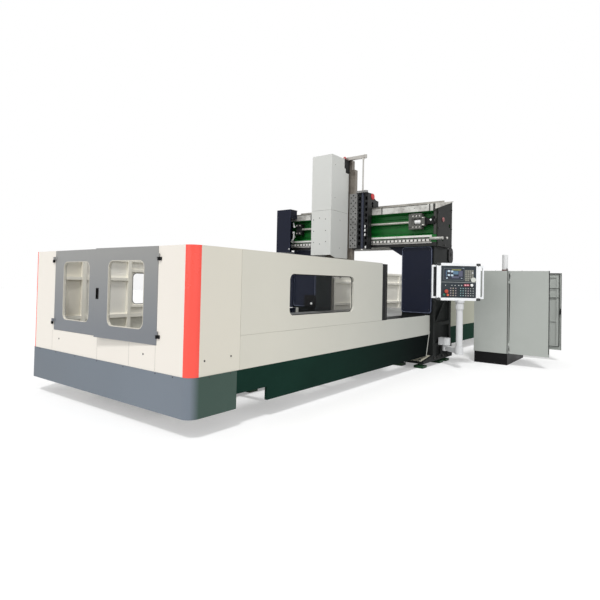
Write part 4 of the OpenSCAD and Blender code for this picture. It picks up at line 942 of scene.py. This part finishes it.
def fit_left_cover():
    """Bent lubrication pipe with its stub, link and stands in the open side of the left
    cable cover, and a small white fitting beside them."""
    y = -0.7
    pipe = curve([(-1.668, y, 2.804), (-1.66, y, 2.719), (-1.679, y, 2.647),
                  (-1.739, y, 2.589)], 24)
    stub = revolve(pipe[0] + (0, 0, 0.030), DOWN, boss(0.029, 0.040, 0.020, 0.046), 16)
    link_foot = np.array((-1.653, y, 2.93))
    link = tube([(-1.684, y, 3.048), link_foot], 0.016, 12)
    stands = [tube([place + (0, 0, -0.004), place + (0, 0.060, -0.004)], 0.010, 8)
              for place in (pipe[8], link_foot + (0, 0, 0.03))]
    piece("lubrication_pipe", [tube(pipe, 0.021, 12), stub, link] + stands, white_plastic)
    fitting = slab((-1.640, -0.9005, 2.400), FRONT, 0.030, 0.030, 0.006, 0.012, 0.002)
    piece("cable_cover_fittings", [fitting], white_plastic)


PENDANT_POLE = middle("pendant_pole")


def on_pendant(x, out, z):
    """Place and face on the pendant: x to its right, out of its front, z from its base."""
    return turned(PENDANT_POLE * (1, 1, 0) + (x - PENDANT_SHIFT, -out, z + PENDANT_BASE),
                  PENDANT_POLE[:2], PENDANT_TURN)


def plate(x, z, width, height, out, depth, corner=0.002):
    """Rounded plate on the pendant's front."""
    place, face = on_pendant(x, out, z)
    return slab(place, face, width, height, depth, corner, 0.0006)


def knob(x, z, out, profile):
    """Profile turned about an axis that stands out of the pendant's front."""
    place, face = on_pendant(x, out, z)
    return revolve(place, face, profile, 28)


def plastic(name, colour, clouding=0.1, scale=20.0, dust=0.05, roughness=0.45):
    """Moulded or printed finish of the pendant's small pieces."""
    return enamel(name, colour, clouding, scale, dust, 0.1, roughness)


def on_panel(name, grids, material):
    """Piece that rides on the pendant."""
    piece(name, grids, material, "pendant")


def fit_pendant():
    """Corner blocks and side covers, screen with its read-outs, key caps, divider, counter,
    knob, buttons and screws."""
    panel_out, key_out, lit_out = 0.079, 0.0846, 0.0741
    corners = []
    for side in (1, -1):
        for z in (0.6962, 0.0262):
            place, face = on_pendant(side * 0.3822, -0.0865, z)
            corners.append(slab(place, face, 0.0830, 0.0515, 0.1735, 0.016, 0.003))
        place, face = on_pendant(side * 0.4231, 0.0, 0.361)
        face = np.array((-side * face[2], face[1], side * face[0]))
        corners.append(slab(place, face, 0.150, 0.640, 0.0018, 0.006))
    on_panel("pendant_corner_blocks", corners,
             plastic("pendant corner plastic", (0.21, 0.22, 0.22), 0.2, 20.0, 0.2, 0.5))

    glass = enamel("screen glass", (0.10, 0.13, 0.20), 0.1, 6.0, 0.0, 0.05, 0.12, bump=0.0)
    on_panel("screen_glass", [plate(-0.090, 0.505, 0.376, 0.208, 0.0725, 0.0015, 0.004)], glass)
    bezel = [(0.0, -0.0005), (0.0, 0.004), (0.014, 0.004), (0.016, 0.0008), (0.016, -0.0005)]
    place, face = on_pendant(-0.090, panel_out, 0.505)
    on_panel("screen_bezel", [ring(place, face, 0.378, 0.210, 0.010, bezel)],
             plastic("screen bezel", (0.30, 0.33, 0.345), 0.1, 10.0, 0.05, 0.4))
    white = [plate(x, z, width, 0.034, lit_out, 0.0006, 0.006) for x, z, width in
             ((-0.185, 0.566, 0.050), (-0.122, 0.560, 0.040), (-0.185, 0.490, 0.044),
              (-0.122, 0.486, 0.046))]
    white += [plate(-0.222, 0.430, 0.030, 0.026, lit_out, 0.0006, 0.010),
              plate(0.060, 0.432, 0.030, 0.010, lit_out, 0.0006),
              plate(0.090, 0.625, 0.030, 0.010, panel_out, 0.003)]
    on_panel("screen_figures", white,
             plastic("lit white", (0.76, 0.83, 0.88), 0.1, 40.0, 0.0, 0.4))
    on_panel("screen_heading", [plate(-0.040, 0.592, 0.180, 0.014, lit_out, 0.0006)],
             plastic("lit yellow", (0.66, 0.67, 0.42), 0.2, 30.0, 0.0, 0.4))
    on_panel("screen_fields", [plate(-0.052, 0.537, 0.100, 0.064, lit_out, 0.0005, 0.008),
                               plate(-0.235, 0.52, 0.012, 0.120, lit_out, 0.0005, 0.005)],
             plastic("lit blue", (0.34, 0.46, 0.56), 0.3, 20.0, 0.0, 0.4))
    on_panel("screen_side_field", [plate(0.042, 0.520, 0.078, 0.110, lit_out, 0.0005, 0.008),
                                   plate(-0.060, 0.450, 0.14, 0.036, lit_out, 0.0005, 0.008)],
             plastic("lit violet", (0.33, 0.34, 0.42), 0.3, 20.0, 0.0, 0.4))

    bare = ((4, 3), (0, 3), (0, 2), (1, 3))
    caps = [plate(0.143 + 0.042 * column, 0.394 + 0.036 * row, 0.030, 0.024, key_out, 0.0022,
                  0.004)
            for row in range(6) for column in range(4) if (row, column) not in bare]
    on_panel("keypad_caps", caps, plastic("keypad grey", (0.57, 0.57, 0.53), 0.2, 30.0))
    on_panel("keypad_plate", [plate(0.206, 0.484, 0.172, 0.222, panel_out, 0.0012, 0.006)],
             plastic("keypad plate", (0.40, 0.41, 0.39)))
    key_x, key_z = -0.149 + 0.048 * np.arange(10), 0.046 * np.arange(4)
    tints = {"mauve": ((0.52, 0.46, 0.48), (0, 2, 7)), "sand": ((0.56, 0.51, 0.43), (1,)),
             "teal": ((0.26, 0.46, 0.48), (4, 5)), "slate": ((0.47, 0.50, 0.495), (6, 8, 9))}
    for tint, (colour, columns) in tints.items():
        caps = [plate(key_x[column], 0.096 + rise, 0.026, 0.022, key_out, 0.0022, 0.004)
                for column in columns for rise in key_z]
        on_panel("key_caps_" + tint, caps, plastic("key " + tint, colour, 0.3, 40.0))
    marks = [plate(0.269, 0.538, 0.028, 0.024, key_out, 0.0026, 0.004)]
    marks += [plate(key_x[column], 0.100 + rise, 0.008, 0.010, 0.0868, 0.0006, 0.002)
              for column in (0, 1, 2, 4, 5, 6, 7, 8, 9) for rise in key_z]
    marks += [plate(x, 0.292, 0.018, 0.012, panel_out, 0.001, 0.004)
              for x in (-0.248, -0.125, -0.064, 0.008, 0.062)]
    on_panel("key_marks", marks,
             plastic("white key", (0.88, 0.89, 0.88), 0.1, 30.0, 0.05, 0.4))
    on_panel("panel_divider", [plate(0.0, 0.353, 0.676, 0.011, panel_out, 0.002)],
             plastic("panel divider", (0.52, 0.54, 0.54)))
    on_panel("panel_round_patch", [plate(0.288, 0.405, 0.098, 0.092, key_out, 0.0022, 0.044)],
             plastic("pale patch", (0.80, 0.81, 0.78), 0.2, roughness=0.5))
    on_panel("counter_display", [plate(0.158, 0.300, 0.112, 0.046, panel_out, 0.003, 0.006)],
             plastic("counter red", (0.45, 0.10, 0.14), 0.2, 20.0, 0.0, 0.3))
    on_panel("counter_figures", [plate(x, 0.300, 0.036, 0.024, panel_out + 0.003, 0.0006, 0.006)
                                 for x in (0.134, 0.182)],
             plastic("lit pink", (0.93, 0.66, 0.70), 0.1, 20.0, 0.0, 0.4))
    dome = [(0, 0), (0.027, 0), (0.027, 0.008), (0.024, 0.012), (0.016, 0.014), (0, 0.0145)]
    on_panel("white_knob", [knob(0.249, 0.300, 0.1035, dome),
                            plate(0.249, 0.300, 0.010, 0.050, 0.115, 0.008, 0.004)],
             white_plastic)
    mushroom = [(0.0, 0), (0.029, 0), (0.036, 0.008), (0.037, 0.016), (0.033, 0.024),
                (0.020, 0.030), (0, 0.0315)]
    on_panel("stop_button", [knob(-0.240, 0.174, 0.1052, mushroom)],
             plastic("stop red", (0.72, 0.27, 0.20), roughness=0.32))
    push = [(0, 0), (0.024, 0), (0.024, 0.010), (0.020, 0.014), (0, 0.015)]
    on_panel("start_button", [knob(-0.272, 0.108, panel_out, push)],
             plastic("start green", (0.16, 0.42, 0.34), roughness=0.35))
    on_panel("hold_button", [knob(-0.205, 0.106, panel_out, push)],
             plastic("hold orange", (0.86, 0.42, 0.30), roughness=0.35))
    heads = [screw_head(*on_pendant(side * 0.381, 0.0850, z), 0.006, 10)
             for side in (1, -1) for z in (0.055, 0.665)]
    on_panel("pendant_screws", heads, screw_black)


def fit_cabinet():
    """Dark lines on the faces of the cabinet doors, their locks and an edge strip, lifting eyes,
    a joint on the cabinet's side and louvres in its back."""
    door_x, door_z, door_width, door_height = 3.300, 1.119, 0.628, 1.590
    bead = [(0, 0), (0, 0.0025), (0.013, 0.0025), (0.013, 0)]
    far_y, near_y = 2.0962, 0.6838
    # Dark outline and two dark cross strips on the far door's face
    seals = [ring((door_x, far_y, door_z), FRONT, door_width, door_height, 0.010, bead, 3)]
    seals += [slab((door_x, far_y, z), FRONT, door_width, 0.014, 0.0025, 0.003)
              for z in (1.590, 1.388)]
    piece("far_door_dark_lines", seals, dark_line_grey, "cabinet_far_door")
    seals = [ring((door_x, near_y, door_z), REAR, door_width, door_height, 0.010, bead, 3)]
    piece("near_door_seal", seals, dark_line_grey, "cabinet_near_door")
    for name, y, face in (("far_door", 2.0930, FRONT), ("near_door", 0.6872, REAR)):
        lock = slab((3.6425, y, 1.09), face, 0.018, 0.130, 0.012, 0.004, 0.002)
        piece(name + "_lock", [lock], black_coat, "cabinet_" + name)
    # Dark strip along the near door's free edge
    edge = slab((3.6555, 0.6610, door_z), FRONT, 0.012, 1.640, 0.0018, 0.003, 0.0006)
    piece("near_door_edge_strip", [edge], dark_strip, "cabinet_near_door")
    low, high = np.array(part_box("cabinet"))
    eyes = []
    for x, y in grid_places((2.28, 2.86), (0.715, 2.065)):
        eyes += [revolve((x, y, high[2]), UP, boss(0.022, 0.006, 0.010, 0.012), 16),
                 eye((x, y, high[2] + 0.030), 0.020, 0.005)]
    piece("cabinet_lifting_eyes", eyes, screw_black)
    joint = slab((2.893, low[1], (low[2] + high[2]) / 2), FRONT, 0.012,
                 high[2] - low[2] - 0.004, 0.0022, 0.001, 0.0005)
    piece("cabinet_side_joint", [joint], dark_line_grey)
    vents = copies(slab((2.220, 0, 0), LEFT, 0.30, 0.010, 0.006, 0.004),
                   [(0, y, z) for y, z in grid_places((1.0, 1.78), np.arange(0.45, 0.63, 0.03))])
    piece("cabinet_back_louvres", vents, cabinet_coat)


build_camera()
build_stage()
build_lights()
dress_nodes()
fit_front()
fit_sides()
fit_columns()
fit_beam()
fit_saddle()
fit_ram()
fit_left_cover()
fit_pendant()
fit_cabinet()

bpy.context.scene.view_settings.view_transform = "Standard"
